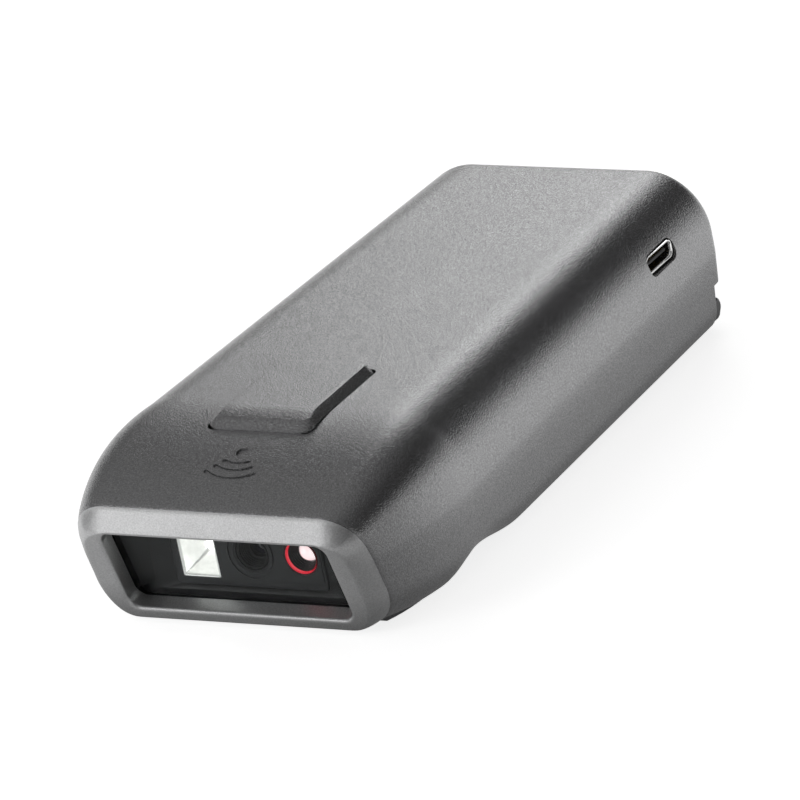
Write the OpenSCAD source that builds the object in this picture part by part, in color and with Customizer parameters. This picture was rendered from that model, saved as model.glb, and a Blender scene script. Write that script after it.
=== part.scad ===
// Palm-held area scanner: two-piece plastic body, front bezel with window and scan engine,
// raised scan key on top and a USB-C socket in the right side.
// Front (window) faces -Y, the socket side is +X, and the body rests on z = 0.

/* [Body] */
// Y position of the rear wall
rear_y = 62.9; // [60:0.1:64]
// Half of the width at the rear, at the side crease
rear_half_w = 27.9; // [26:0.1:29]
// How much each side widens per mm towards the front
side_flare = 0.0385; // [0.02:0.0005:0.045]
// Height of the flat top
top_z = 29.3; // [28:0.1:30]
// Height of the crease along each side
crease_z = 14.5; // [13:0.1:15]
// Wall thickness of the shells
wall = 1.8; // [1.4:0.1:2]

/* [Rounding] */
// Radius of the long top edges
top_r = 11; // [9:0.1:12]
// Radius of the top edges where they meet the bezel
front_top_r = 6.5; // [5:0.1:8]
// Radius of the long bottom edges
bottom_r = 5; // [3:0.1:6]
// Radius of the bottom edges where they meet the bezel
front_bottom_r = 9; // [6:0.1:10]
// Radius of the edges round the rear wall
rear_r = 3; // [2:0.1:4]
// Inward lean of each side below the crease, in degrees
under_lean = 5.5; // [3:0.1:8]

/* [Front slope] */
// Y position where the top starts to curve down
slope_y = -33.3; // [-36:0.1:-30]
// Radius of the downward curve
slope_r = 61; // [58:0.5:70]
// Y position where the sides start to curve in
narrow_y = -34; // [-38:0.1:-30]
// Radius of the inward curve of the sides
narrow_r = 66; // [60:0.5:80]

/* [Finger recess] */
// Y position of the deepest point of the recess in the underside
recess_y = -30.5; // [-33:0.1:-28]
// Depth of the recess
recess_depth = 2.2; // [1:0.1:2.4]
// Run of the recess towards the rear
recess_back = 16; // [12:0.5:18]
// Run of the recess towards the front
recess_front = 10.5; // [8:0.5:11]
// How far the underside rises from the nose to the bezel
nose_lift = 0.45; // [0.4:0.05:1]

/* [Bezel] */
// Lean of the front face: its top is further forward, in degrees
face_lean = 17.2; // [14:0.1:19]
// Y position where the seam plane would meet z = 0
seam_y = -53.9; // [-55:0.1:-53]
// Thickness of the bezel, square to its face
bezel_t = 3.3; // [3:0.1:4]
// Half of the opening's width
opening_half_w = 21.5; // [19:0.1:22]
// Lower edge of the opening along the face
opening_low = 3.9; // [2:0.1:4]
// Upper edge of the opening along the face
opening_high = 20.1; // [17:0.1:20.2]
// Corner radius of the opening
opening_r = 2.2; // [1:0.1:3]

/* [Scan key] */
// Length of the key's base
key_l = 22.9; // [18:0.1:24]
// Width of the key's base
key_w = 19.9; // [15:0.1:20]
// Y position of the key's centre
key_y = -31.45; // [-33:0.1:-30]
// Height of the key's top face
key_top_z = 30.6; // [30:0.1:31]
// Depth of the key's front and side slopes, seen from above
key_slope = 1.5; // [1:0.1:2.2]
// Travel of the key
key_travel = 0.6; // [0.4:0.1:0.8]

/* [Socket] */
// Y position of the USB-C socket's centre
usb_y = 43.3; // [38:0.1:46]
// Height of the USB-C socket's centre
usb_z = 21.4; // [21:0.1:22]

/* [Hidden] */

eps = 0.01;
nose_y = -45;            // the nose is lowest here
fit_gap = 0.15;          // clearance between a shell and the piece set into it
face_s = tan(face_lean); // run of the face per mm of height
arc_steps = 6;           // facets in each top edge
low_steps = 4;           // facets in each bottom edge
half_n = arc_steps + low_steps + 3;

// ---- Outer form of the body: a cross section for every y, lofted from rear to front ----

// Half of the width at the crease
function half_w(y) =
    let (d = max(0, narrow_y - y))
    rear_half_w + (rear_y - y) * side_flare - (narrow_r - sqrt(narrow_r * narrow_r - d * d));

// Height of the top
function top_at(y) =
    let (d = max(0, slope_y - y))
    top_z - (slope_r - sqrt(slope_r * slope_r - d * d));

// Height of the underside, with the finger recess and the lift of the nose
function bottom_at(y) =
    let (d = y - recess_y, run = d > 0 ? recess_back : recess_front, n = max(0, nose_y - y) / (nose_y - seam_y))
    abs(d) >= run ? nose_lift * n * n : recess_depth * (1 + cos(180 * d / run)) / 2;

// 0 over the straight body, 1 at the bezel seam
function front_part(y) = min(1, max(0, (slope_y - y) / (slope_y + 58)));
function top_radius(y) = top_r + (front_top_r - top_r) * front_part(y);
function low_radius(y) = bottom_r + (front_bottom_r - bottom_r) * front_part(y);

// Point k of the right half of the section at y, set in from the surface by t
function section_pt(k, y, t) =
    let (
        w = half_w(y) - t,
        zt = top_at(y) - t,
        zb = bottom_at(y) + t,
        rt = max(1, top_radius(y) - t),
        rb = max(1, low_radius(y) - t),
        low_w = w - (crease_z - zb - rb) * tan(under_lean)
    )
    k == 0 ? [0, zt]
    : k <= arc_steps + 1
        ? let (a = 90 - 90 * (k - 1) / arc_steps) [w - rt + rt * cos(a), zt - rt + rt * sin(a)]
    : k == arc_steps + 2 ? [w, crease_z]
    : let (a = -90 * (k - arc_steps - 3) / low_steps)
        [low_w - rb + rb * cos(a), zb + rb + rb * sin(a)];

// The same, drawn in by the rounding of the rear edges
function rear_inset(y, back) = let (d = max(0, y - back + rear_r)) rear_r - sqrt(max(0, rear_r * rear_r - d * d));

function mirrored(right) =
    concat(right, [for (k = [len(right) - 1:-1:1]) [-right[k][0], right[k][1]]]);

// A closed ring of the section at y as 3-D points
function ring(y, t, back) =
    let (i = t + rear_inset(y, back))
    [for (p = mirrored([for (k = [0:half_n]) k < half_n ? section_pt(k, y, i) : [0, bottom_at(y) + i]])) [p[0], y, p[1]]];

// Joins equal rings into one closed solid
module loft(rings) {
    n = len(rings[0]);
    m = len(rings);
    polyhedron(
        points = [for (r = rings) for (p = r) p],
        faces = concat(
            [[for (i = [0:n - 1]) i]],
            [for (j = [0:m - 2]) for (i = [0:n - 1])
                let (a = j * n + i, b = j * n + (i + 1) % n) each [[a, a + n, b], [b, a + n, b + n]]],
            [[for (i = [n - 1:-1:0]) (m - 1) * n + i]]
        ),
        convexity = 6
    );
}

function stations(back) = concat(
    [for (a = [90:-30:0]) back - rear_r + rear_r * sin(a)],
    [20],
    [for (y = [recess_y + recess_back:-3.25:recess_y - recess_front - 0.5]) y],
    [for (y = [-44.5:-3.5:-66]) y]
);

// Solid body form, set in by t, from its rear wall to past the bezel seam
module body_form(t, back) {
    ys = stations(back);
    for (i = [1:len(ys) - 1])
        hull()
            loft([ring(ys[i - 1], t, back), ring(ys[i], t, back)]);
}

// Local frame of the leaning face: x across, y up along the face, z out of it
module on_face(at_y) {
    translate([0, at_y, 0])
        rotate([90 + face_lean, 0, 0])
            children();
}

// Everything in front of the plane that leans through at_y
module ahead_of(at_y) {
    on_face(at_y)
        translate([-50, -30, 0])
            cube([100, 90, 40]);
}

module slab(x0, x1, y0, y1, z0, z1) {
    translate([x0, y0, z0])
        cube([x1 - x0, y1 - y0, z1 - z0]);
}

// Rounded rectangle between two corners
module round_rect(x0, x1, y0, y1, r) {
    hull()
        for (x = [x0 + r, x1 - r], y = [y0 + r, y1 - r])
            translate([x, y])
                circle(r = r, $fn = 32);
}

// Exact rounded rectangle: a cross of two bars with four true circles in its corners
module exact_round_rect(x0, x1, y0, y1, r) {
    translate([x0 + r, y0])
        square([x1 - x0 - 2 * r, y1 - y0]);
    translate([x0, y0 + r])
        square([x1 - x0, y1 - y0 - 2 * r]);
    for (x = [x0 + r, x1 - r], y = [y0 + r, y1 - r])
        translate([x, y])
            circle(r = r, $fn = 48);
}

// ---- Screw places, used by the shells, the board and the screws ----

cover_places = [[-22.6, -45.5], [22.6, -45.5], [-20.5, 53], [20.5, 53]];
board_places = [[-18, -27], [18, -27], [-18, 30], [18, 30]];
boss_r = 2.6;
post_x = 17.2;
post_y = -46.6;
bracket_low = 4.2;
pilot_r = 0.8;
shank_r = 0.72;
board_z = 18.8;
board_t = 1.2;
board_top = board_z + board_t;

// ---- Shells ----

notch_low = 4.9;    // groove across the rear, over the lip
notch_high = 8.9;
notch_y = 59;
lip_y = 63.5;
lip_half_w = 25.4;
cover_t = 2.2;
cover_side = 5.4;   // how far the cover's edge lies inside the crease line
cover_front = -53;
cover_back = notch_y - 0.1;

// Plan of the bottom cover, grown by g
module cover_plan(g) {
    ys = [cover_back + g, 20, -20, -40, -47, cover_front - g];
    right = [for (y = ys) [half_w(y) - cover_side + g, y]];
    left = [for (i = [len(ys) - 1:-1:0]) [-right[i][0], right[i][1]]];
    polygon(concat(right, left));
}

// Side profile of a skin that follows the underside, thick as given
module under_profile(thick) {
    dip = [for (y = [recess_y - recess_front:1.5:recess_y + recess_back]) [y, bottom_at(y)]];
    line = concat([[cover_front - 2, 0]], dip, [[cover_back + 2, 0]]);
    polygon(concat(line, [for (i = [len(line) - 1:-1:0]) [line[i][0], line[i][1] + thick]]));
}

module under_skin(thick) {
    rotate([90, 0, 90])
        translate([0, 0, -35])
            linear_extrude(70)
                under_profile(thick);
}

module key_opening(g) {
    translate([0, key_y, 20])
        linear_extrude(15)
            exact_round_rect(-key_w / 2 - g, key_w / 2 + g, -key_l / 2 - g, key_l / 2 + g, 2 + g);
}

// Outline of the socket's mouth, drawn in Y and Z and extruded along X
module usb_outline(half_l, half_h, x0, x1) {
    translate([x0, usb_y, usb_z])
        rotate([90, 0, 90])
            linear_extrude(x1 - x0)
                exact_round_rect(-half_l, half_l, -half_h, half_h, half_h - 0.3);
}

// Rebate in the front mouth for the window and its gasket
module window_seat() {
    on_face(seam_y)
        translate([0, 0, -pane_t - 0.25])
            linear_extrude(5)
                exact_round_rect(-opening_half_w - 2.6, opening_half_w + 2.6,
                    opening_low - pane_grow - 0.1, opening_high + 2.6, opening_r + 1.2);
}

module upper_housing() {
    color([0.27, 0.27, 0.28]) {
        difference() {
            body_form(0, rear_y);
            body_form(wall, rear_y - wall);
            ahead_of(seam_y);
            translate([0, 0, -1])
                linear_extrude(1 + cover_t + recess_depth + fit_gap)
                    cover_plan(fit_gap);
            window_seat();
            key_opening(0.25);
            usb_outline(4.8, 1.95, 20, 40);
            slab(-40, 40, notch_y, 70, -1, notch_high);
        }
        // Ledge that closes the shell over the strap groove
        slab(-25.9, 25.9, notch_y, rear_y - 1.4, notch_high, notch_high + 1.6);
        for (p = cover_places)
            translate([p[0], p[1], cover_t + 2.4])
                difference() {
                    cylinder(r = boss_r, h = (p[1] < 0 ? 26.8 : 27.2) - cover_t - 2.4, $fn = 28);
                    translate([0, 0, -eps])
                        cylinder(r = pilot_r, h = 10, $fn = 24);
                }
        for (p = board_places)
            translate([p[0], p[1], board_top])
                difference() {
                    cylinder(r = 2.2, h = 8.2, $fn = 24);
                    translate([0, 0, -eps])
                        cylinder(r = pilot_r, h = 5, $fn = 24);
                }
    }
}

// The lip: a bar with bevelled long edges
module lip_bar() {
    y0 = notch_y + 0.2;
    z0 = 1.3;
    bevel = 0.7;
    translate([-lip_half_w, 0, 0])
        rotate([90, 0, 90])
            linear_extrude(2 * lip_half_w)
                polygon([
                    [y0, z0], [lip_y - 1.2, z0], [lip_y, z0 + 1.5], [lip_y, notch_low - bevel],
                    [lip_y - bevel, notch_low], [y0, notch_low]
                ]);
}

module bottom_cover() {
    color([0.22, 0.22, 0.23])
        difference() {
            union() {
                intersection() {
                    under_skin(cover_t);
                    translate([0, 0, -1])
                        linear_extrude(8)
                            cover_plan(0);
                }
                // Upright behind the strap groove, and the lip under the groove
                slab(-22.6, 22.6, notch_y - 1.9, notch_y - 0.15, 0.8, notch_high + 1.6);
                slab(-22.4, 22.4, notch_y - 0.8, notch_y + 0.6, 1.5, notch_low - 0.3);
                lip_bar();
                // Posts under the engine bracket
                for (x = [-post_x, post_x])
                    translate([x, post_y, cover_t - 0.2])
                        cylinder(r = 1.7, h = bracket_low - cover_t + 0.1, $fn = 48);
                // Battery ribs
                for (x = [-19.4, 18.4])
                    slab(x, x + 1, 2, 44, cover_t - 0.2, 8);
                slab(-18.6, 18.6, 45.2, 46.4, cover_t - 0.2, 8);
            }
            for (x = [-post_x, post_x])
                translate([x, post_y, 1])
                    cylinder(r = pilot_r, h = 6, $fn = 32);
            for (p = cover_places) {
                translate([p[0], p[1], -1])
                    cylinder(r = 0.95, h = 8, $fn = 32);
                translate([p[0], p[1], -1])
                    cylinder(r = 1.9, h = 2, $fn = 48);
            }
        }
}

// Outline of the seam, point by point, in the local frame of the leaning face
function settle(k, y, n) =
    n == 0 ? y : settle(k, seam_y - face_s * section_pt(k, y, 0)[1], n - 1);
function seam_right() = [
    for (k = [0:half_n - 1])
        let (y = settle(k, seam_y - 4, 6), p = section_pt(k, y, 0)) [p[0], p[1] / cos(face_lean)]
];
function seam_outline() = mirrored(concat(seam_right(), [[0, bottom_at(seam_y) / cos(face_lean)]]));

// Outward direction of the outline at point i
function out_dir(o, i) =
    let (n = len(o), d = o[(i + 1) % n] - o[(i + n - 1) % n], l = norm(d)) [-d[1] / l, d[0] / l];

// One ring of the bezel: s = 0 at the seam, 1 at the face. The top edge is a flat chamfer,
// the other edges are rounded.
bezel_top_in = 3.4;
bezel_side_in = 3;
bezel_low_in = 1.5;
function bezel_ring(o, s) = [
    for (i = [0:len(o) - 1])
        let (
            n = out_dir(o, i),
            up = max(0, n[1]),
            down = max(0, -n[1]),
            full = bezel_side_in + (bezel_top_in - bezel_side_in) * up * up
                + (bezel_low_in - bezel_side_in) * down * down,
            round_in = 1 - sqrt(1 - s * s),
            in = full * (round_in + (s - round_in) * up * up)
        )
        [o[i][0] - n[0] * in, o[i][1] - n[1] * in, bezel_t * s]
];

module front_bezel() {
    o = seam_outline();
    color([0.52, 0.53, 0.54])
        on_face(seam_y)
            difference() {
                hull()
                    loft([for (a = [0, 22.5, 45, 67.5, 90]) bezel_ring(o, sin(a))]);
                translate([0, 0, -1])
                    linear_extrude(bezel_t + 2)
                        exact_round_rect(-opening_half_w, opening_half_w, opening_low, opening_high, opening_r);
            }
}

pane_t = 1.2;
pane_grow = 1.4;
module pane_outline(g) {
    exact_round_rect(-opening_half_w - g, opening_half_w + g, opening_low - g + 0.3, opening_high + g,
        opening_r + g * 0.5);
}

module window_pane() {
    color([0.75, 0.8, 0.82, 0.35])
        on_face(seam_y)
            translate([0, 0, -pane_t - 0.05])
                linear_extrude(pane_t)
                    pane_outline(pane_grow - 0.05);
}

module window_gasket() {
    color([0.06, 0.06, 0.06])
        on_face(seam_y)
            translate([0, 0, -pane_t - 0.05])
                linear_extrude(pane_t)
                    difference() {
                        exact_round_rect(-opening_half_w - 2.4, opening_half_w + 2.4,
                            opening_low - pane_grow + 0.1, opening_high + 2.4, opening_r + 1.2);
                        pane_outline(pane_grow);
                    }
}

// ---- Scan engine ----

engine_y = -53;          // face of the engine
engine_depth = 12;
engine_half_w = 14.6;
engine_low = 5.4;
engine_high = 17.4;
lamp_x = -9.5;
lamp_z = 10.4;
lamp_half = 3.65;
lamp_depth = 4.4;
camera_x = 0.9;
camera_z = 11.5;
camera_r = 3.15;
aimer_x = 10.4;
aimer_z = 11.4;
aimer_r = 3;

// A cylinder that runs back from the engine face; from and to are depths behind it
module engine_round(x, z, r, from, to) {
    translate([x, engine_y + from, z])
        rotate([-90, 0, 0])
            cylinder(r = r, h = to - from, $fn = 64);
}

module light_baffle() {
    half = opening_half_w - 0.3;
    color([0.05, 0.05, 0.05])
        difference() {
            slab(-half, half, engine_y - 9, engine_y + 4, 3.6, 19.2);
            slab(-half + 1, half - 1, engine_y - 10, engine_y + 3, 4.6, 18.2);
            slab(-engine_half_w - 0.1, engine_half_w + 0.1, engine_y, engine_y + 5, engine_low - 0.1,
                engine_high + 0.1);
            ahead_of(seam_y + (pane_t + 0.15) / cos(face_lean));
        }
}

module engine_body() {
    color([0.12, 0.12, 0.12])
        difference() {
            slab(-engine_half_w, engine_half_w, engine_y, engine_y + engine_depth, engine_low, engine_high);
            slab(lamp_x - lamp_half, lamp_x + lamp_half, engine_y - 1, engine_y + lamp_depth + 1.2,
                lamp_z - lamp_half, lamp_z + lamp_half);
            engine_round(camera_x, camera_z, camera_r, -1, 9);
            engine_round(aimer_x, aimer_z, aimer_r, -1, 7);
            slab(camera_x - 3.4, camera_x + 3.4, engine_y + 9 - eps, engine_y + engine_depth + 1,
                camera_z - 3.4, camera_z + 3.4);
            // Shallow turned steps round the camera hole
            difference() {
                engine_round(camera_x, camera_z, 4.4, -1, 0.25);
                engine_round(camera_x, camera_z, 4.1, -2, 1);
            }
        }
}

module lamp_reflector() {
    half = lamp_half - 0.05;
    throat = 0.9;
    color([0.9, 0.9, 0.88])
        difference() {
            slab(lamp_x - half, lamp_x + half, engine_y + 0.05, engine_y + lamp_depth, lamp_z - half, lamp_z + half);
            hull() {
                slab(lamp_x - half + 0.15, lamp_x + half - 0.15, engine_y - 0.1, engine_y + 0.06,
                    lamp_z - half + 0.15, lamp_z + half - 0.15);
                slab(lamp_x - throat, lamp_x + throat, engine_y + lamp_depth, engine_y + lamp_depth + 0.1,
                    lamp_z - throat, lamp_z + throat);
            }
        }
}

module lamp_led() {
    color([1, 0.95, 0.75])
        slab(lamp_x - 1.7, lamp_x + 1.7, engine_y + lamp_depth + 0.05, engine_y + lamp_depth + 1.1,
            lamp_z - 1.7, lamp_z + 1.7);
}

module camera_barrel() {
    color([0.08, 0.08, 0.08])
        difference() {
            engine_round(camera_x, camera_z, camera_r - 0.05, 0.6, 8.9);
            engine_round(camera_x, camera_z, 2.5, 0, 2);
            engine_round(camera_x, camera_z, 2.1, 1.9, 3.6);
            engine_round(camera_x, camera_z, 1.7, 3.5, 10);
        }
}

module camera_lens() {
    color([0.3, 0.35, 0.5])
        engine_round(camera_x, camera_z, 1.65, 3.7, 5.2);
}

module image_sensor() {
    color([0.15, 0.2, 0.25])
        slab(camera_x - 2.6, camera_x + 2.6, engine_y + 10.6, engine_y + engine_depth + 0.05,
            camera_z - 2.6, camera_z + 2.6);
}

module aimer_barrel() {
    color([0.12, 0.12, 0.12])
        difference() {
            engine_round(aimer_x, aimer_z, aimer_r - 0.05, 0.7, 6.9);
            engine_round(aimer_x, aimer_z, 1.9, 0, 3.2);
            engine_round(aimer_x, aimer_z, 1.4, 3.1, 8);
        }
}

module aimer_ring() {
    color([0.85, 0.05, 0.08])
        difference() {
            engine_round(aimer_x, aimer_z, aimer_r - 0.05, 0, 0.65);
            engine_round(aimer_x, aimer_z, aimer_r - 0.55, -1, 1);
        }
}

module aimer_lens() {
    color([1, 0.75, 0.78])
        translate([aimer_x, engine_y + 2.9, aimer_z])
            rotate([90, 0, 0])
                rotate_extrude($fn = 64)
                    intersection() {
                        circle(r = 1.85, $fn = 64);
                        translate([0, -0.2])
                            square([2, 3]);
                    }
}

module aimer_led() {
    color([0.95, 0.3, 0.3])
        engine_round(aimer_x, aimer_z, 1.35, 4, 6.4);
}

board_back = engine_y + engine_depth;
module image_board() {
    color([0.05, 0.3, 0.15])
        slab(-13.6, 13.6, board_back + 0.1, board_back + 1, engine_low + 0.6, engine_high - 0.6);
}

module engine_bracket() {
    color([0.35, 0.36, 0.38])
        difference() {
            union() {
                slab(-19.6, 19.6, engine_y + 4.2, board_back + 4, bracket_low, engine_low - 0.1);
                for (x = [-19.6, 14.8])
                    slab(x, x + 4.8, engine_y + 4.2, engine_y + 8.6, bracket_low, 9);
                slab(-10, 10, board_back + 2.8, board_back + 4, bracket_low, 8);
            }
            for (x = [-post_x, post_x])
                translate([x, post_y, 3])
                    cylinder(r = 0.85, h = 8, $fn = 32);
        }
}

// Pan-head screw with a cross recess: head up on +Z, top of the head at z = 0, shank below
module pan_screw(head_r, head_h, shank_r, shank_l) {
    difference() {
        union() {
            translate([0, 0, -head_h])
                cylinder(r = head_r, h = head_h, $fn = 48);
            translate([0, 0, -head_h - shank_l])
                cylinder(r = shank_r, h = shank_l + eps, $fn = 32);
        }
        for (turn = [0, 90])
            rotate([0, 0, turn])
                translate([-head_r * 0.55, -0.18, -head_h * 0.5])
                    cube([head_r * 1.1, 0.36, head_h]);
    }
}

module engine_screws() {
    color([0.7, 0.7, 0.72])
        for (x = [-post_x, post_x])
            translate([x, post_y, 10.05])
                pan_screw(1.4, 1, shank_r, 6);
}

// ---- Main board and what it carries ----

module main_board() {
    color([0.05, 0.32, 0.16])
        difference() {
            slab(-23.4, 23.4, -37, 47, board_z, board_top);
            for (p = board_places)
                translate([p[0], p[1], board_z - 1])
                    cylinder(r = 1, h = 4, $fn = 32);
            slab(20.2, 30, usb_y - 4.8, usb_y + 4.8, board_z - 1, board_top + 1);
        }
}

usb_out = 27.75;  // mouth of the socket, just inside the side wall's surface
usb_in = 20.4;
module usb_shell() {
    color([0.85, 0.85, 0.86])
        difference() {
            usb_outline(4.47, 1.63, usb_in, usb_out);
            usb_outline(4.17, 1.33, usb_in + 0.6, usb_out + 1);
        }
}

module usb_tongue() {
    color([0.08, 0.08, 0.08])
        slab(usb_in + 0.65, usb_out - 0.7, usb_y - 3.35, usb_y + 3.35, usb_z - 0.32, usb_z + 0.32);
}

module usb_contacts() {
    color([0.85, 0.7, 0.35])
        for (k = [-5.5:1:5.5], side = [-1, 1])
            let (z = side > 0 ? usb_z + 0.34 : usb_z - 0.4)
                slab(usb_in + 1.2, usb_out - 1, usb_y + k * 0.5 - 0.12, usb_y + k * 0.5 + 0.12, z, z + 0.06);
}

module flex_connectors() {
    color([0.85, 0.83, 0.78]) {
        slab(-5.2, 5.2, board_back + 1.05, board_back + 2.3, 12.6, 14.6);
        slab(-5.2, 5.2, -31.2, -28.6, board_z - 1.3, board_z - 0.05);
    }
}

// Ribbon in the YZ plane: out of the image board's connector, up in a curve, into the main board's
module flex_cable() {
    y0 = board_back + 2.35;
    z0 = 13.5;
    y1 = -31.25;
    z1 = board_z - 0.75;
    bend = 2.4;
    thick = 0.2;
    mid = (y0 + y1) / 2 - 1;
    color([0.75, 0.45, 0.12])
        rotate([90, 0, 90])
            translate([0, 0, -4])
                linear_extrude(8) {
                    translate([y0, z0])
                        square([mid - y0, thick]);
                    translate([mid, z0 + bend])
                        difference() {
                            circle(r = bend, $fn = 64);
                            circle(r = bend - thick, $fn = 64);
                            translate([-10, -10])
                                square([10, 20]);
                            translate([-10, 0])
                                square([20, 10]);
                        }
                    translate([mid + bend - thick, z0 + bend - eps])
                        square([thick, z1 - z0 - bend + thick]);
                    translate([mid + bend - thick, z1])
                        square([y1 - mid - bend + thick, thick]);
                }
}

module processor() {
    color([0.06, 0.06, 0.07])
        slab(-6, 6, -12, 0, board_top + 0.02, board_top + 1.2);
}

module power_chip() {
    color([0.08, 0.08, 0.09])
        slab(10, 16, 18, 24, board_top + 0.02, board_top + 1);
}

module wireless_module() {
    color([0.72, 0.73, 0.74]) {
        slab(-17, -5, 10, 26, board_top + 0.02, board_top + 0.8);
        slab(-16.2, -5.8, 14, 25.4, board_top + 0.7, board_top + 2.6);
    }
}

module antenna() {
    color([0.8, 0.62, 0.3]) {
        slab(-22.8, -20, -14, 6, board_top + 0.02, board_top + 0.5);
        slab(-22.8, -21.9, -14, 6, board_top + 0.4, board_top + 3.2);
    }
}

module buzzer() {
    color([0.1, 0.1, 0.1])
        translate([10, 6, board_top + 0.02])
            difference() {
                cylinder(r = 4.6, h = 3.4, $fn = 64);
                translate([0, 0, 2])
                    cylinder(r = 1, h = 3, $fn = 32);
            }
}

module vibration_motor() {
    color([0.78, 0.78, 0.8])
        translate([-13, -12, board_z - 2.8])
            cylinder(r = 4.5, h = 2.75, $fn = 64);
}

battery_low = 2.6;
battery_high = 13.6;
module battery_pack() {
    color([0.6, 0.63, 0.66])
        translate([0, 0, battery_low])
            linear_extrude(battery_high - battery_low)
                exact_round_rect(-18, 18, -1, 44.6, 2);
}

module battery_pad() {
    color([0.1, 0.1, 0.1])
        slab(-14, 14, 6, 38, battery_high + 0.02, battery_high + 2.6);
}

module battery_connector() {
    color([0.92, 0.9, 0.84])
        slab(8, 14, -10, -5.4, board_z - 3.2, board_z - 0.05);
}

// Two wires from the battery's front end up to the connector's rear face
module battery_lead() {
    color([0.75, 0.1, 0.1])
        for (x = [10, 12]) {
            translate([x, -1.05, 12])
                rotate([90, 0, 0])
                    cylinder(r = 0.55, h = 2, $fn = 32);
            translate([x, -3.05, 12])
                sphere(r = 0.55, $fn = 32);
            translate([x, -3.05, 12])
                cylinder(r = 0.55, h = 4.6, $fn = 32);
            translate([x, -3.05, 16.6])
                sphere(r = 0.55, $fn = 32);
            translate([x, -3.05, 16.6])
                rotate([90, 0, 0])
                    cylinder(r = 0.55, h = 2.3, $fn = 32);
        }
}

// ---- Scan key and its switch ----

flange_z = 25;
flange_t = 0.8;
plunger_top = 24.3;

module scan_key() {
    half_l = key_l / 2;
    half_wd = key_w / 2;
    base_z = 27;
    wall_low = 28.7;
    color([0.27, 0.27, 0.28])
        translate([0, key_y, 0]) {
            hull() {
                translate([0, 0, base_z])
                    linear_extrude(wall_low - base_z)
                        round_rect(-half_wd, half_wd, -half_l, half_l, 2);
                translate([0, 0, key_top_z - 0.2])
                    linear_extrude(0.2)
                        round_rect(-half_wd + key_slope, half_wd - key_slope, -half_l + key_slope,
                            half_l - 0.5, 1.4);
            }
            translate([0, 0, flange_z])
                linear_extrude(base_z - flange_z + eps)
                    exact_round_rect(-half_wd + 0.6, half_wd - 0.6, -half_l + 0.6, half_l - 0.6, 1.6);
            translate([0, 0, flange_z])
                linear_extrude(flange_t)
                    exact_round_rect(-half_wd - 1.6, half_wd + 1.6, -half_l - 1.6, half_l + 1.6, 2.4);
            translate([0, 0, plunger_top])
                cylinder(r = 1.6, h = 1, $fn = 48);
        }
}

module key_seal() {
    color([0.12, 0.12, 0.12])
        translate([0, key_y, flange_z + flange_t])
            linear_extrude(0.35)
                difference() {
                    exact_round_rect(-key_w / 2 - 1.5, key_w / 2 + 1.5, -key_l / 2 - 1.5, key_l / 2 + 1.5, 2.4);
                    exact_round_rect(-key_w / 2 + 0.6, key_w / 2 - 0.6, -key_l / 2 + 0.6, key_l / 2 - 0.6, 1.6);
                }
}

switch_top = 23;
module switch_body() {
    color([0.16, 0.16, 0.17])
        difference() {
            slab(-3, 3, key_y - 3, key_y + 3, board_top + 0.02, switch_top);
            translate([0, key_y, board_top + 0.8])
                cylinder(r = 1.85, h = 4, $fn = 48);
        }
}

module switch_plunger() {
    color([0.75, 0.2, 0.15])
        translate([0, key_y, board_top + 0.8 + key_travel + 0.4])
            cylinder(r = 1.75, h = plunger_top - board_top - key_travel - 1.2, $fn = 48);
}

// ---- Screws ----

module cover_screws() {
    color([0.2, 0.2, 0.21])
        for (p = cover_places)
            translate([p[0], p[1], 0.05])
                rotate([180, 0, 0])
                    pan_screw(1.7, 0.95, shank_r, 8);
}

module board_screws() {
    color([0.7, 0.7, 0.72])
        for (p = board_places)
            translate([p[0], p[1], board_z - 1.05])
                rotate([180, 0, 0])
                    pan_screw(1.8, 1, shank_r, 5.4);
}

upper_housing();
bottom_cover();
front_bezel();
window_gasket();
window_pane();
light_baffle();
engine_body();
lamp_reflector();
lamp_led();
camera_barrel();
camera_lens();
image_sensor();
aimer_barrel();
aimer_ring();
aimer_lens();
aimer_led();
image_board();
engine_bracket();
engine_screws();
flex_cable();
flex_connectors();
main_board();
usb_shell();
usb_tongue();
usb_contacts();
scan_key();
key_seal();
switch_body();
switch_plunger();
processor();
power_chip();
wireless_module();
antenna();
buzzer();
vibration_motor();
battery_pack();
battery_pad();
battery_connector();
battery_lead();
cover_screws();
board_screws();
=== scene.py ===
import math

import bmesh
import bpy
from mathutils import Matrix, Quaternion, Vector


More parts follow.
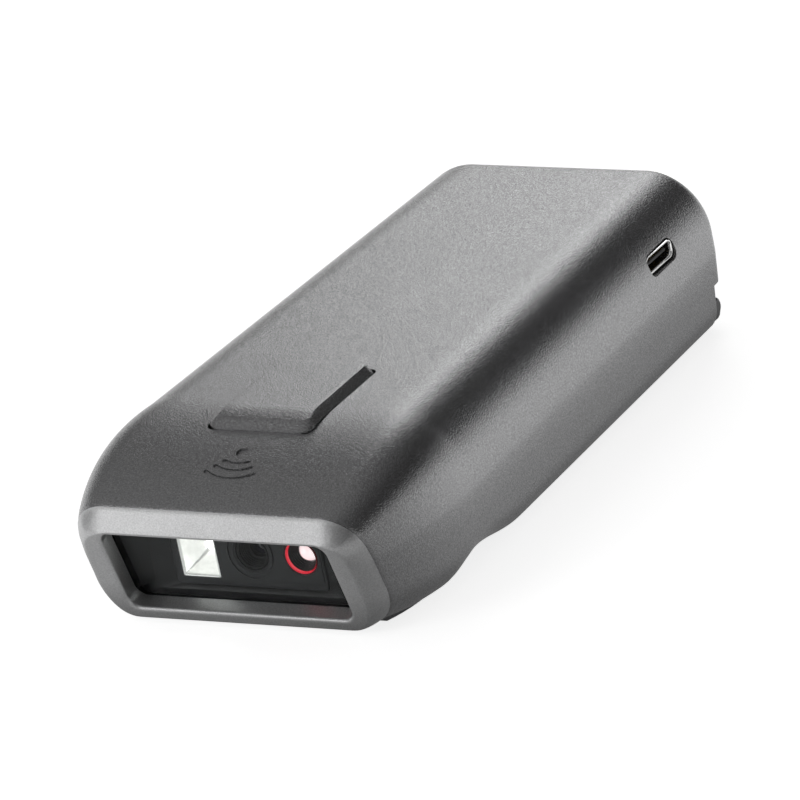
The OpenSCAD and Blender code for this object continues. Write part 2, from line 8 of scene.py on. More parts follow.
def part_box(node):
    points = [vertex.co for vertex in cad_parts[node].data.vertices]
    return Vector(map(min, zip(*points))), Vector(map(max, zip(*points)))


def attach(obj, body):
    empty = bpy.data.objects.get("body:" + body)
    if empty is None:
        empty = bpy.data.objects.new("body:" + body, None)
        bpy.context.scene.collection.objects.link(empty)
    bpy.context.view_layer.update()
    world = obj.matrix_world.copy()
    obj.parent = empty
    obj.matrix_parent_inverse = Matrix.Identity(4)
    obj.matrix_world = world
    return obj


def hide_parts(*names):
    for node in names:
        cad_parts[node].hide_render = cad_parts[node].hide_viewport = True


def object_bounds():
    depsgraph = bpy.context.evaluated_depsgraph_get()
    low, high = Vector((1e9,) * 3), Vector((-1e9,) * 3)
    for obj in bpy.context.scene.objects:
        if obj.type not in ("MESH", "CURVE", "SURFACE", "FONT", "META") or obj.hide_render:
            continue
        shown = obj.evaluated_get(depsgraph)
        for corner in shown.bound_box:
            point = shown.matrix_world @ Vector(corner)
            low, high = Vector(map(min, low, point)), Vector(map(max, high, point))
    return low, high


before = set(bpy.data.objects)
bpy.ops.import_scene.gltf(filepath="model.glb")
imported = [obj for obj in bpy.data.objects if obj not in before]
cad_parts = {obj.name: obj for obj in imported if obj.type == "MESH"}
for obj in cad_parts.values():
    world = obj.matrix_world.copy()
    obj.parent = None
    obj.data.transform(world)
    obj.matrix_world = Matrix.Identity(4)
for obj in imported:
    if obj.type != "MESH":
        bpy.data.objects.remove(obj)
cad_low, cad_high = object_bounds()
MM = 0.001

# ---- Camera ----------------------------------------------------------------------------
# A long lens looks down on the window end from the right, held with a slight turn.
CAMERA_AZIMUTH = math.radians(34.115)
CAMERA_ELEVATION = math.radians(22.675)
CAMERA_TURN = math.radians(-11.71)
CAMERA_DISTANCE = 1.69
CAMERA_AIM = Vector((-0.0081, 0.0113, 0.0082))

camera_back = Vector((
    math.sin(CAMERA_AZIMUTH) * math.cos(CAMERA_ELEVATION),
    -math.cos(CAMERA_AZIMUTH) * math.cos(CAMERA_ELEVATION),
    math.sin(CAMERA_ELEVATION),
))
camera_data = bpy.data.cameras.new("camera")
camera_data.lens = 452.4
camera_data.sensor_width = 36
camera_data.clip_start = 0.05
camera = bpy.data.objects.new("camera", camera_data)
bpy.context.collection.objects.link(camera)
camera.rotation_mode = "QUATERNION"
camera.rotation_quaternion = camera_back.to_track_quat("Z", "Y") @ Quaternion((0, 0, 1), CAMERA_TURN)
camera.location = CAMERA_AIM + camera_back * CAMERA_DISTANCE
bpy.context.scene.camera = camera

# ---- Upper housing ---------------------------------------------------------------------
# One moulding in glass-filled plastic: a flat top, long rounded shoulders, a crease along each
# side and a nose that curves down to the bezel. Its moulded grain catches the light.
housing_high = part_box("upper_housing")[1]
REAR_Y = housing_high.y / MM
TOP_Z = housing_high.z / MM
REAR_HALF_W = 27.9
SIDE_FLARE = 0.0385
CREASE_Z = 14.5
WALL = 1.8
MOUTH_EDGE = 0.22
TOP_R, FRONT_TOP_R = 11, 6.5
BOTTOM_R, FRONT_BOTTOM_R = 5, 9
REAR_R = 3
UNDER_LEAN = math.tan(math.radians(5.5))
SLOPE_Y, SLOPE_R = -33.3, 61
NARROW_Y, NARROW_R = -34, 66
RECESS_Y, RECESS_DEPTH, RECESS_BACK, RECESS_FRONT = -30.5, 2.2, 16, 10.5
NOSE_Y, NOSE_LIFT = -45, 0.45
SEAM_Y = -53.9
FACE_LEAN = math.radians(17.2)
FACE_RUN = math.tan(FACE_LEAN)


def half_width(y):
    d = max(0, NARROW_Y - y)
    return REAR_HALF_W + (REAR_Y - y) * SIDE_FLARE - (NARROW_R - math.sqrt(NARROW_R ** 2 - d * d))


def top_height(y):
    d = max(0, SLOPE_Y - y)
    return TOP_Z - (SLOPE_R - math.sqrt(SLOPE_R ** 2 - d * d))


def bottom_height(y):
    d = y - RECESS_Y
    run = RECESS_BACK if d > 0 else RECESS_FRONT
    n = max(0, NOSE_Y - y) / (NOSE_Y - SEAM_Y)
    if abs(d) >= run:
        return NOSE_LIFT * n * n
    return RECESS_DEPTH * (1 + math.cos(math.pi * d / run)) / 2


# Counts of points on the right half of a section: flat top, shoulder, side, under side, lower edge
FLAT_N, SHOULDER_N, LOWER_N, BASE_N = 12, 24, 14, 6
SIDE_STEPS = (0.3, 0.65, 0.93, 1)
UNDER_STEPS = (0.06, 0.4, 0.75)
HALF_N = FLAT_N + SHOULDER_N + len(SIDE_STEPS) + len(UNDER_STEPS) + LOWER_N + BASE_N + 1
KEY_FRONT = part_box("scan_key")[0].y / MM + 1.6


def section_point(k, y, t):
    part = min(1, max(0, (SLOPE_Y - y) / (SLOPE_Y + 58)))
    w = half_width(y) - t
    zt = top_height(y) - t
    zb = bottom_height(y) + t
    rt = max(1, TOP_R + (FRONT_TOP_R - TOP_R) * part - t)
    rb = max(1, BOTTOM_R + (FRONT_BOTTOM_R - BOTTOM_R) * part - t)
    low_w = w - (CREASE_Z - zb - rb) * UNDER_LEAN
    if k < FLAT_N:
        return (w - rt) * k / FLAT_N, zt
    k -= FLAT_N
    if k <= SHOULDER_N:
        a = math.pi / 2 * (1 - k / SHOULDER_N)
        return w - rt + rt * math.cos(a), zt - rt + rt * math.sin(a)
    k -= SHOULDER_N + 1
    if k < len(SIDE_STEPS):
        s = SIDE_STEPS[k]
        return w, (zt - rt) * (1 - s) + CREASE_Z * s
    k -= len(SIDE_STEPS)
    if k < len(UNDER_STEPS):
        s = UNDER_STEPS[k]
        return w * (1 - s) + low_w * s, CREASE_Z * (1 - s) + (zb + rb) * s
    k -= len(UNDER_STEPS)
    if k <= LOWER_N:
        a = -math.pi / 2 * k / LOWER_N
        return low_w - rb + rb * math.cos(a), zb + rb + rb * math.sin(a)
    k -= LOWER_N + 1
    return (low_w - rb) * (1 - (k + 1) / BASE_N), zb


def seam_y_of(k, t):
    y = SEAM_Y - 4
    for _ in range(7):
        y = SEAM_Y - FACE_RUN * section_point(k, y, t)[1]
    return y


def seam_ys(t):
    return [seam_y_of(k, t) for k in range(HALF_N)]


def both_sides(right):
    return right + [(-p[0],) + tuple(p[1:]) for p in right[-2:0:-1]]


# A closed ring round the shell, with its own Y for each point of the right half
def section_ring(ys, t):
    right = []
    for k, y in enumerate(ys):
        x, z = section_point(k, y, t)
        right.append((x, y, z))
    return both_sides(right)


def rear_inset(y, back, radius):
    d = max(0, y - back + radius)
    return radius - math.sqrt(max(0, radius * radius - d * d))


# Rings of a shell from its rear wall to the seam; inside=t sets the whole shell in by t
def shell_rings(t, back, radius, ys, lean_ys, arc):
    rings = []
    for step in range(arc, -1, -1):
        y = back - radius + radius * math.sin(math.pi / 2 * step / arc)
        rings.append(section_ring([y] * HALF_N, t + rear_inset(y, back, radius)))
    rings += [section_ring([y] * HALF_N, t) for y in ys]
    start, ends = ys[-1], seam_ys(t)
    for s in lean_ys:
        rings.append(section_ring([start + (end - start) * s for end in ends], t))
    return rings


# A closed mesh from rings of equal length; the last ring joins the first when it is a tube
def ring_mesh(name, rings, caps=(True, True), closed=False):
    mesh = bpy.data.meshes.new(name)
    n = len(rings[0])
    points = [Vector(p) * MM for r in rings for p in r]
    faces = []
    for j in range(len(rings) - (0 if closed else 1)):
        a, b = j * n, (j + 1) % len(rings) * n
        faces += [(a + i, b + i, b + (i + 1) % n, a + (i + 1) % n) for i in range(n)]
    if caps[0]:
        faces.append(tuple(range(n)))
    if caps[1]:
        faces.append(tuple(reversed(range((len(rings) - 1) * n, len(rings) * n))))
    mesh.from_pydata(points, [], faces)
    work = bmesh.new()
    work.from_mesh(mesh)
    bmesh.ops.remove_doubles(work, verts=work.verts, dist=1e-7)
    bmesh.ops.dissolve_degenerate(work, edges=work.edges, dist=1e-7)
    bmesh.ops.recalc_face_normals(work, faces=work.faces)
    work.to_mesh(mesh)
    work.free()
    piece = bpy.data.objects.new(name, mesh)
    bpy.context.collection.objects.link(piece)
    return piece


def carve(piece, tools, way="DIFFERENCE"):
    for tool in tools:
        cut = piece.modifiers.new("cut", "BOOLEAN")
        cut.operation = way
        cut.solver = "EXACT"
        cut.object = tool
    bpy.context.view_layer.update()
    done = bpy.data.meshes.new_from_object(piece.evaluated_get(bpy.context.evaluated_depsgraph_get()))
    piece.modifiers.clear()
    old = piece.data
    piece.data = done
    done.name = piece.name
    bpy.data.meshes.remove(old)
    for tool in tools:
        bpy.data.objects.remove(tool)


def soften(piece, angle=32):
    piece.data.shade_smooth()
    piece.data.set_sharp_from_angle(angle=math.radians(angle))


# Rounded rectangle in its own plane, as a list of (u, v)
def round_rect(u0, u1, v0, v1, r, steps=8):
    points = []
    corners = ((u1 - r, v1 - r), (u0 + r, v1 - r), (u0 + r, v0 + r), (u1 - r, v0 + r))
    for turn, (cu, cv) in enumerate(corners):
        for s in range(steps + 1):
            a = math.pi / 2 * (turn + s / steps)
            points.append((cu + r * math.cos(a), cv + r * math.sin(a)))
    return points


def circle_line(cx, cy, r, n=40):
    turns = [2 * math.pi * i / n for i in range(n)]
    return [(cx + r * math.cos(a), cy + r * math.sin(a)) for a in turns]


def lathe_rings(profile, cx, cy, n=48):
    return [[(x, y, z) for x, y in circle_line(cx, cy, r, n)] for r, z in profile]


def block(name, x0, x1, y0, y1, z0, z1):
    corners = [(x0, y0), (x1, y0), (x1, y1), (x0, y1)]
    return ring_mesh(name, [[(x, y, z) for x, y in corners] for z in (z0, z1)])


# Plan of the bottom cover, as a closed line of (x, y)
COVER_SIDE, COVER_FRONT, COVER_BACK, COVER_T = 5.4, -53, 58.9, 2.2


def cover_half(y):
    return half_width(y) - COVER_SIDE


def cover_plan(grow):
    ys = [COVER_BACK + grow] + [COVER_BACK - 4 * i for i in range(1, 28)] + [COVER_FRONT - grow]
    right = [(cover_half(y) + grow, y) for y in ys]
    return right + [(-x, y) for x, y in reversed(right)]


KEY_LOW, KEY_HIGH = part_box("scan_key")
KEY_Y = (KEY_LOW.y + KEY_HIGH.y) / 2 / MM
KEY_HALF_L, KEY_HALF_W = (KEY_HIGH.y - KEY_LOW.y) / 2 / MM - 1.6, KEY_HIGH.x / MM - 1.6
KEY_GAP = 0.17
usb_low, usb_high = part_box("usb_shell")
USB_Y, USB_Z = (usb_low.y + usb_high.y) / 2 / MM, (usb_low.z + usb_high.z) / 2 / MM
USB_MOUTH = (4.78, 1.94)
NOTCH_Y, NOTCH_HIGH = 59.0, 8.9
LEDGE_HALF, LEDGE_T = 25.9, 1.6

back_ys = [REAR_Y - REAR_R - 1.5 * i for i in range(1, 56)]
back_ys = [y for y in back_ys if y > -19] + [-19.6 - 0.7 * i for i in range(0, 32)]
fine_ys = [y for y in back_ys if y > -42.1]
key_ys = [KEY_FRONT + d for d in (1.3, 0.95, 0.7, 0.45, 0.2, 0, -0.25, -0.6)]
lean_steps = [i / 26 for i in range(1, 27)]
outer = shell_rings(0, REAR_Y, REAR_R, fine_ys + key_ys, lean_steps, 9)
mouth_edge = section_ring(seam_ys(MOUTH_EDGE), MOUTH_EDGE)
outer[-1] = [(x, y + 0.2, z) for x, y, z in outer[-1]]
inner_ys = [40, 10] + [-14 - 4 * i for i in range(8)]
inner = shell_rings(WALL, REAR_Y - WALL, 1.5, inner_ys, [0.25, 0.5, 0.75, 1], 3)
inner[-1] = [(x, y + 0.1, z) for x, y, z in inner[-1]]
housing = ring_mesh("housing_shell", outer + [mouth_edge] + inner[::-1])

mouth_cut = ring_mesh("mouth", [[(x, y, z) for x, y in cover_plan(0.12)] for z in (-2, 4.6)])
key_hole = [(x, KEY_Y + v) for x, v in round_rect(
    -KEY_HALF_W - KEY_GAP, KEY_HALF_W + KEY_GAP, -KEY_HALF_L - KEY_GAP, KEY_HALF_L + KEY_GAP, 1.3)]
key_cut = ring_mesh("key_cut", [[(x, y, z) for x, y in key_hole] for z in (24, 34)])
usb_hole = round_rect(
    USB_Y - USB_MOUTH[0], USB_Y + USB_MOUTH[0], USB_Z - USB_MOUTH[1], USB_Z + USB_MOUTH[1], 1.5)
usb_cut = ring_mesh("usb_cut", [[(x, y, z) for y, z in usb_hole] for x in (22, 36)])
notch_cut = block("notch_cut", -40, 40, NOTCH_Y, 70, -2, NOTCH_HIGH)
carve(housing, [mouth_cut, notch_cut, key_cut, usb_cut])
# The ledge that closes the housing over the strap groove
ledge = block(
    "ledge", -LEDGE_HALF, LEDGE_HALF, NOTCH_Y, REAR_Y - 1.4, NOTCH_HIGH, NOTCH_HIGH + LEDGE_T)
carve(housing, [ledge], "UNION")

# A wave sign engraved on the slope: a dot and three bows, each a cutter that follows the slope
ICON_DEPTH = 0.3
ICON_CENTRE_Y = -45.5
ICON_BOWS = ((5.6, 29), (7.2, 32), (8.95, 34))
ICON_HALF_W = 0.36
DOT_Y, DOT_R = -48.45, 1.08

icon_cuts = []
for radius, half_angle in ICON_BOWS:
    rings = []
    for s in range(31):
        a = math.radians(-half_angle + 2 * half_angle * s / 30)
        from_end = min(s, 30 - s) / 30 * 2 * math.radians(half_angle) * radius
        w = ICON_HALF_W * math.sqrt(max(0.04, 1 - max(0, 1 - from_end / ICON_HALF_W) ** 2))
        ring = []
        for r, up in ((radius - w, 0), (radius + w, 0), (radius + w, 1), (radius - w, 1)):
            x, y = r * math.sin(a), ICON_CENTRE_Y - r * math.cos(a)
            ring.append((x, y, top_height(y) + (2 if up else -ICON_DEPTH)))
        rings.append(ring)
    icon_cuts.append(ring_mesh("bow", rings))
dot_ring = circle_line(0, DOT_Y, DOT_R, 24)
icon_cuts.append(ring_mesh("dot", [
    [(x, y, top_height(y) + up) for x, y in dot_ring] for up in (-ICON_DEPTH, 2)]))
carve(housing, icon_cuts)
soften(housing, 30)


# Sockets of a shader node by identifier, which stay the same in every data type
def sock(sockets, identifier):
    return next(s for s in sockets if s.identifier == identifier)


def group_socket(group, name, way, kind, value=None):
    made = group.interface.new_socket(name=name, in_out=way, socket_type=kind)
    if value is not None:
        made.default_value = value


# A Map Range node with its four limits set
def level_range(nodes, from_min, from_max, to_min=0.0, to_max=1.0):
    made = nodes.new("ShaderNodeMapRange")
    for name, value in (
            ("From Min", from_min), ("From Max", from_max), ("To Min", to_min), ("To Max", to_max)):
        made.inputs[name].default_value = value
    return made


# Moulded grain: fine cells with bright peaks, a slow change of shade and of gloss over the surface
grain = bpy.data.node_groups.new("moulded_grain", "ShaderNodeTree")
for name, kind, value in (
    ("Low colour", "NodeSocketColor", (0.05, 0.05, 0.05, 1)),
    ("High colour", "NodeSocketColor", (0.1, 0.1, 0.1, 1)),
    ("Cells per metre", "NodeSocketFloat", 2600.0), ("Contrast", "NodeSocketFloat", 1.0),
    ("Roughness", "NodeSocketFloat", 0.5), ("Gloss change", "NodeSocketFloat", 0.08),
):
    group_socket(grain, name, "INPUT", kind, value)
group_socket(grain, "Colour", "OUTPUT", "NodeSocketColor")
group_socket(grain, "Roughness", "OUTPUT", "NodeSocketFloat")
group_socket(grain, "Height", "OUTPUT", "NodeSocketFloat")
g, gl = grain.nodes, grain.links
g_in, g_out = g.new("NodeGroupInput"), g.new("NodeGroupOutput")
place = g.new("ShaderNodeTexCoord")
fine = g.new("ShaderNodeTexNoise")
fine.inputs["Detail"].default_value = 2.5
fine.inputs["Roughness"].default_value = 0.62
gl.new(place.outputs["Object"], fine.inputs["Vector"])
gl.new(g_in.outputs["Cells per metre"], fine.inputs["Scale"])
slow = g.new("ShaderNodeTexNoise")
slow.inputs["Scale"].default_value = 55
slow.inputs["Detail"].default_value = 3
gl.new(place.outputs["Object"], slow.inputs["Vector"])
peaks = level_range(g, 0.34, 0.7)
gl.new(fine.outputs["Fac"], peaks.inputs["Value"])
power = g.new("ShaderNodeMath")
power.operation = "POWER"
gl.new(peaks.outputs["Result"], power.inputs[0])
gl.new(g_in.outputs["Contrast"], power.inputs[1])
shade = g.new("ShaderNodeMix")
shade.data_type = "RGBA"
gl.new(power.outputs["Value"], sock(shade.inputs, "Factor_Float"))
gl.new(g_in.outputs["Low colour"], sock(shade.inputs, "A_Color"))
gl.new(g_in.outputs["High colour"], sock(shade.inputs, "B_Color"))
gl.new(sock(shade.outputs, "Result_Color"), g_out.inputs["Colour"])
change = g.new("ShaderNodeMath")
change.operation = "SUBTRACT"
change.inputs[1].default_value = 0.5
gl.new(slow.outputs["Fac"], change.inputs[0])
gloss = g.new("ShaderNodeMath")
gloss.operation = "MULTIPLY_ADD"
gl.new(change.outputs["Value"], gloss.inputs[0])
gl.new(g_in.outputs["Gloss change"], gloss.inputs[1])
gl.new(g_in.outputs["Roughness"], gloss.inputs[2])
gl.new(gloss.outputs["Value"], g_out.inputs["Roughness"])
gl.new(fine.outputs["Fac"], g_out.inputs["Height"])


def new_material(name, metallic=0.0, ior=1.45, coat=0.0, sheen=0.0):
    made = bpy.data.materials.new(name)
    made.use_nodes = True
    shader = made.node_tree.nodes["Principled BSDF"]
    shader.inputs["Metallic"].default_value = metallic
    shader.inputs["IOR"].default_value = ior
    shader.inputs["Coat Weight"].default_value = coat
    shader.inputs["Sheen Weight"].default_value = sheen
    return made, shader


# A plastic, rubber or metal whose colour, roughness and bump come from the grain group
def grained(name, low, high, cells, roughness, bump, contrast=1.0, gloss_change=0.08, **plain):
    made, shader = new_material(name, **plain)
    nodes, links = made.node_tree.nodes, made.node_tree.links
    use = nodes.new("ShaderNodeGroup")
    use.node_tree = grain
    use.inputs["Low colour"].default_value = (*low, 1)
    use.inputs["High colour"].default_value = (*high, 1)
    use.inputs["Cells per metre"].default_value = cells
    use.inputs["Contrast"].default_value = contrast
    use.inputs["Roughness"].default_value = roughness
    use.inputs["Gloss change"].default_value = gloss_change
    relief = nodes.new("ShaderNodeBump")
    relief.inputs["Distance"].default_value = bump
    relief.inputs["Strength"].default_value = 1
    links.new(use.outputs["Height"], relief.inputs["Height"])
    links.new(use.outputs["Colour"], shader.inputs["Base Color"])
    links.new(use.outputs["Roughness"], shader.inputs["Roughness"])
    links.new(relief.outputs["Normal"], shader.inputs["Normal"])
    return made


def finish_piece(piece, material, body, slot, *nodes):
    piece.data.materials.clear()
    piece.data.materials.append(material)
    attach(piece, body)
    if nodes:
        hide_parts(*nodes)


grain_plastic = grained(
    "grain_plastic", (0.24, 0.24, 0.243), (0.395, 0.395, 0.4), 3700, 0.24, 0.00008, metallic=0.9)
finish_piece(housing, grain_plastic, "scanner", "grain_plastic", "upper_housing")

# ---- Bottom cover ----------------------------------------------------------------------
# A flat lid in darker plastic, let into the underside and held by four screws. At the rear it turns
# up behind a strap groove and ends in a bevelled lip.
COVER_EDGE = 0.35
cover_ys = [COVER_BACK - 1.5 * i for i in range(76)]
cover_ys = [y for y in cover_ys if y > COVER_FRONT + 0.8] + [COVER_FRONT]


def cover_ring(y, inset):
    w = cover_half(y) - inset
    z = bottom_height(y)
    e = COVER_EDGE
    right = [(0, z + COVER_T), (w - 0.1, z + COVER_T), (w, z + COVER_T - 0.1), (w, z + e + inset)]
    for a in (math.pi / 8 * step for step in range(1, 5)):
        right.append((w - e + e * math.cos(a), z + inset + e - e * math.sin(a)))
    right += [(w * 0.6, z + inset), (0, z + inset)]
    return [(x, y, zz) for x, zz in both_sides(right)]


cover_rings = [cover_ring(COVER_BACK, COVER_EDGE), cover_ring(COVER_BACK - COVER_EDGE, 0)]
cover_rings += [cover_ring(y, 0) for y in cover_ys[1:-1]]
cover_rings += [cover_ring(COVER_FRONT + COVER_EDGE, 0), cover_ring(COVER_FRONT, COVER_EDGE)]
cover = ring_mesh("cover_plate", cover_rings)
FRONT_SCREW_X, REAR_SCREW_X = 22.6, 20.5
cover_places = [
    (sx * x, y) for y, x in ((-45.5, FRONT_SCREW_X), (53, REAR_SCREW_X)) for sx in (-1, 1)]


WELL_PROFILE = ((2.25, -1), (2.25, 0), (1.95, 0.28), (1.95, 1), (0.95, 1.02), (0.95, 6))
carve(cover, [ring_mesh("well", lathe_rings(WELL_PROFILE, x, y, 40)) for x, y in cover_places])
soften(cover, 30)

LIP_HALF, LIP_LOW, LIP_MID, LIP_TOP = 25.4, 1.3, 3.1, 4.9
lip_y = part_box("bottom_cover")[1].y / MM
lip_profile = [
    (NOTCH_Y - 0.6, LIP_LOW), (lip_y - 1.4, LIP_LOW), (lip_y - 0.9, LIP_LOW + 0.2),
    (lip_y - 0.1, LIP_LOW + 1.3), (lip_y, LIP_LOW + 1.6), (lip_y, LIP_TOP - 0.9),
    (lip_y - 0.12, LIP_TOP - 0.6), (lip_y - 0.6, LIP_TOP - 0.1),
    (lip_y - 0.9, LIP_TOP), (NOTCH_Y - 0.6, LIP_TOP),
]
lip_rings = []
for x, inset in ((-LIP_HALF, 0.3), (-LIP_HALF + 0.3, 0), (LIP_HALF - 0.3, 0), (LIP_HALF, 0.3)):
    lip_rings.append([
        (x, y - inset * (1 if y > NOTCH_Y else 0), z + inset * (1 if z < LIP_MID else -1))
        for y, z in lip_profile])
lip = ring_mesh("strap_lip", lip_rings)
upright = block("groove_wall", -22.6, 22.6, NOTCH_Y - 1.9, NOTCH_Y - 0.15, 1.6, NOTCH_HIGH + 1.5)
rib_pieces = [
    block("rib", -19.4, -18.4, 2, 44, COVER_T - 0.2, 8), block("rib", 18.4, 19.4, 2, 44, COVER_T - 0.2, 8),
    block("rib", -18.6, 18.6, 45.2, 46.4, COVER_T - 0.2, 8),
]
for x in (-17.2, 17.2):
    rib_pieces.append(ring_mesh("post", lathe_rings(((1.7, COVER_T - 0.2), (1.7, 4.2)), x, -46.6, 40)))
# The lip is cut by two slots for the strap's pins
for x in (-17, 17):
    carve(lip, [block("pin_slot", x - 0.5, x + 0.5, 61.6, 64, 0, 3.2)])
carve(cover, [lip, upright] + rib_pieces, "UNION")
soften(cover, 30)
cover_plastic = grained(
    "cover_plastic", (0.14, 0.14, 0.142), (0.22, 0.22, 0.224), 3300, 0.36, 0.000016, metallic=0.8)
finish_piece(cover, cover_plastic, "scanner", "cover_plastic", "bottom_cover")

# ---- Cover screws ----------------------------------------------------------------------
# Four black-zinc pan-head screws with a cross recess, driven up into the housing's bosses.
SCREW_HEAD_R, SCREW_HEAD_H, SCREW_SHANK_R, SCREW_SHANK_L = 1.7, 0.95, 0.72, 8.0


# A screw standing head down at the origin, in millimetres scaled to metres
def screw_part(name, head_r, head_h, shank_r, shank_l):
    profile = [(head_r * 0.82, 0), (head_r * 0.95, 0.08), (head_r, 0.25), (head_r, head_h)]
    profile += [(shank_r, head_h + 0.02)]
    turns = int(shank_l / 0.7)
    for i in range(turns):
        z = head_h + 0.4 + i * 0.7
        profile += [
            (shank_r * 0.86, z), (shank_r, z + 0.22), (shank_r, z + 0.32), (shank_r * 0.86, z + 0.54)]
    profile += [(shank_r * 0.5, head_h + shank_l)]
    part = ring_mesh(name, lathe_rings(profile, 0, 0, 32))
    arm, slot_half, deep = head_r * 0.55, 0.2, head_h * 0.6
    tools = [
        block("drive", -arm, arm, -slot_half, slot_half, -1, deep),
        block("drive", -slot_half, slot_half, -arm, arm, -1, deep),
    ]
    carve(part, tools)
    soften(part, 35)
    return part


# A Geometry Nodes tree with named inputs that puts parts on points, makes them real and paints them
def point_tree(name, inputs, output):
    tree = bpy.data.node_groups.new(name, "GeometryNodeTree")
    for socket, kind in (("Places", "NodeSocketGeometry"), *inputs, ("Finish", "NodeSocketMaterial")):
        tree.interface.new_socket(name=socket, in_out="INPUT", socket_type=kind)
    tree.interface.new_socket(name=output, in_out="OUTPUT", socket_type="NodeSocketGeometry")
    n, l = tree.nodes, tree.links
    start, put, real, paint, end = (n.new(kind) for kind in (
        "NodeGroupInput", "GeometryNodeInstanceOnPoints", "GeometryNodeRealizeInstances",
        "GeometryNodeSetMaterial", "NodeGroupOutput"))
    l.new(start.outputs["Places"], put.inputs["Points"])
    l.new(put.outputs["Instances"], real.inputs["Geometry"])
    l.new(real.outputs["Geometry"], paint.inputs["Geometry"])
    l.new(start.outputs["Finish"], paint.inputs["Material"])
    l.new(paint.outputs["Geometry"], end.inputs[output])
    return tree, start, put


# One screw on each point, turned by a fixed random angle
def screw_tree():
    inputs = (("Screw", "NodeSocketObject"), ("Seed", "NodeSocketInt"))
    tree, start, put = point_tree("screw_set", inputs, "Screws")
    part = tree.nodes.new("GeometryNodeObjectInfo")
    turn = tree.nodes.new("FunctionNodeRandomValue")
    turn.data_type = "FLOAT_VECTOR"
    sock(turn.inputs, "Min").default_value = (0, 0, 0)
    sock(turn.inputs, "Max").default_value = (0, 0, math.pi / 2)
    tree.links.new(start.outputs["Screw"], part.inputs["Object"])
    tree.links.new(start.outputs["Seed"], sock(turn.inputs, "Seed"))
    tree.links.new(part.outputs["Geometry"], put.inputs["Instance"])
    tree.links.new(sock(turn.outputs, "Value"), put.inputs["Rotation"])
    return tree


def set_of_parts(name, tree, places, values):
    mesh = bpy.data.meshes.new(name)
    mesh.from_pydata([Vector(p) * MM for p in places], [], [])
    made = bpy.data.objects.new(name, mesh)
    bpy.context.collection.objects.link(made)
    nodes = made.modifiers.new("set", "NODES")
    nodes.node_group = tree
    for item in tree.interface.items_tree:
        if item.item_type == "SOCKET" and item.in_out == "INPUT" and item.name in values:
            nodes[item.identifier] = values[item.name]
    bpy.context.view_layer.update()
    real = bpy.data.meshes.new_from_object(made.evaluated_get(bpy.context.evaluated_depsgraph_get()))
    made.modifiers.clear()
    made.data = real
    real.name = name
    return made


dark_screw = grained(
    "dark_screw", (0.03, 0.03, 0.032), (0.06, 0.06, 0.064), 3500, 0.36, 0.00001, metallic=0.9)
cover_screw = screw_part("cover_screw", SCREW_HEAD_R, SCREW_HEAD_H, SCREW_SHANK_R, SCREW_SHANK_L)
cover_screw_set = set_of_parts(
    "cover_screw_set", screw_tree(), [(x, y, 0.05) for x, y in cover_places],
    {"Screw": cover_screw, "Seed": 4, "Finish": dark_screw})
bpy.data.objects.remove(cover_screw)
finish_piece(cover_screw_set, dark_screw, "scanner", "dark_screw", "cover_screws")

# ---- Front bezel -----------------------------------------------------------------------
# A ring moulding in lighter grey, snapped on in front of the housing. Its top edge is a flat
# chamfer, its other edges are half rounded, and a deep opening frames the window.
BEZEL_T = 3.3
BEZEL_N = 400
BEZEL_GAP = 0.16
BEZEL_TOP_IN, BEZEL_SIDE_IN, BEZEL_LOW_IN = 3.3, 3.0, 1.5
BEZEL_FLAT = 0.5
OPEN_HALF, OPEN_LOW, OPEN_HIGH, OPEN_R = 21.5, 3.9, 20.1, 2.2


# From the leaning face's own frame (across, up along the face, out of it) to the part's frame
def on_face(u, v, out, at_y=SEAM_Y):
    c, s = math.cos(FACE_LEAN), math.sin(FACE_LEAN)
    return (u, at_y - v * s - out * c, v * c - out * s)


seam_line = [(x, z / math.cos(FACE_LEAN)) for x, _, z in section_ring(seam_ys(0), 0)]


def evenly(line, n):
    gaps = [math.dist(line[i], line[(i + 1) % len(line)]) for i in range(len(line))]
    step, out, i, walked = sum(gaps) / n, [], 0, 0.0
    for k in range(n):
        want = k * step
        while walked + gaps[i] < want:
            walked += gaps[i]
            i += 1
        t = (want - walked) / gaps[i]
        a, b = line[i], line[(i + 1) % len(line)]
        out.append((a[0] + (b[0] - a[0]) * t, a[1] + (b[1] - a[1]) * t))
    return out


outline = evenly(seam_line, BEZEL_N)


def outward(line, i, reach=3):
    a, b = line[(i - reach) % len(line)], line[(i + reach) % len(line)]
    du, dv = b[0] - a[0], b[1] - a[1]
    length = math.hypot(du, dv)
    return -dv / length, du / length


normals = [outward(outline, i) for i in range(BEZEL_N)]
if normals[0][1] < 0:
    normals = [(-a, -b) for a, b in normals]


def bezel_ring(s):
    ring = []
    for (u, v), (nu, nv) in zip(outline, normals):
        up, down = max(0, nv), max(0, -nv)
        full = BEZEL_SIDE_IN + (BEZEL_TOP_IN - BEZEL_SIDE_IN) * up * up
        full += (BEZEL_LOW_IN - BEZEL_SIDE_IN) * down * down
        rounded = 1 - math.sqrt(max(0, 1 - s * s))
        inset = full * (rounded + (s - rounded) * max(BEZEL_FLAT, up * up))
        ring.append((u - nu * inset, v - nv * inset, BEZEL_T * s))
    return ring


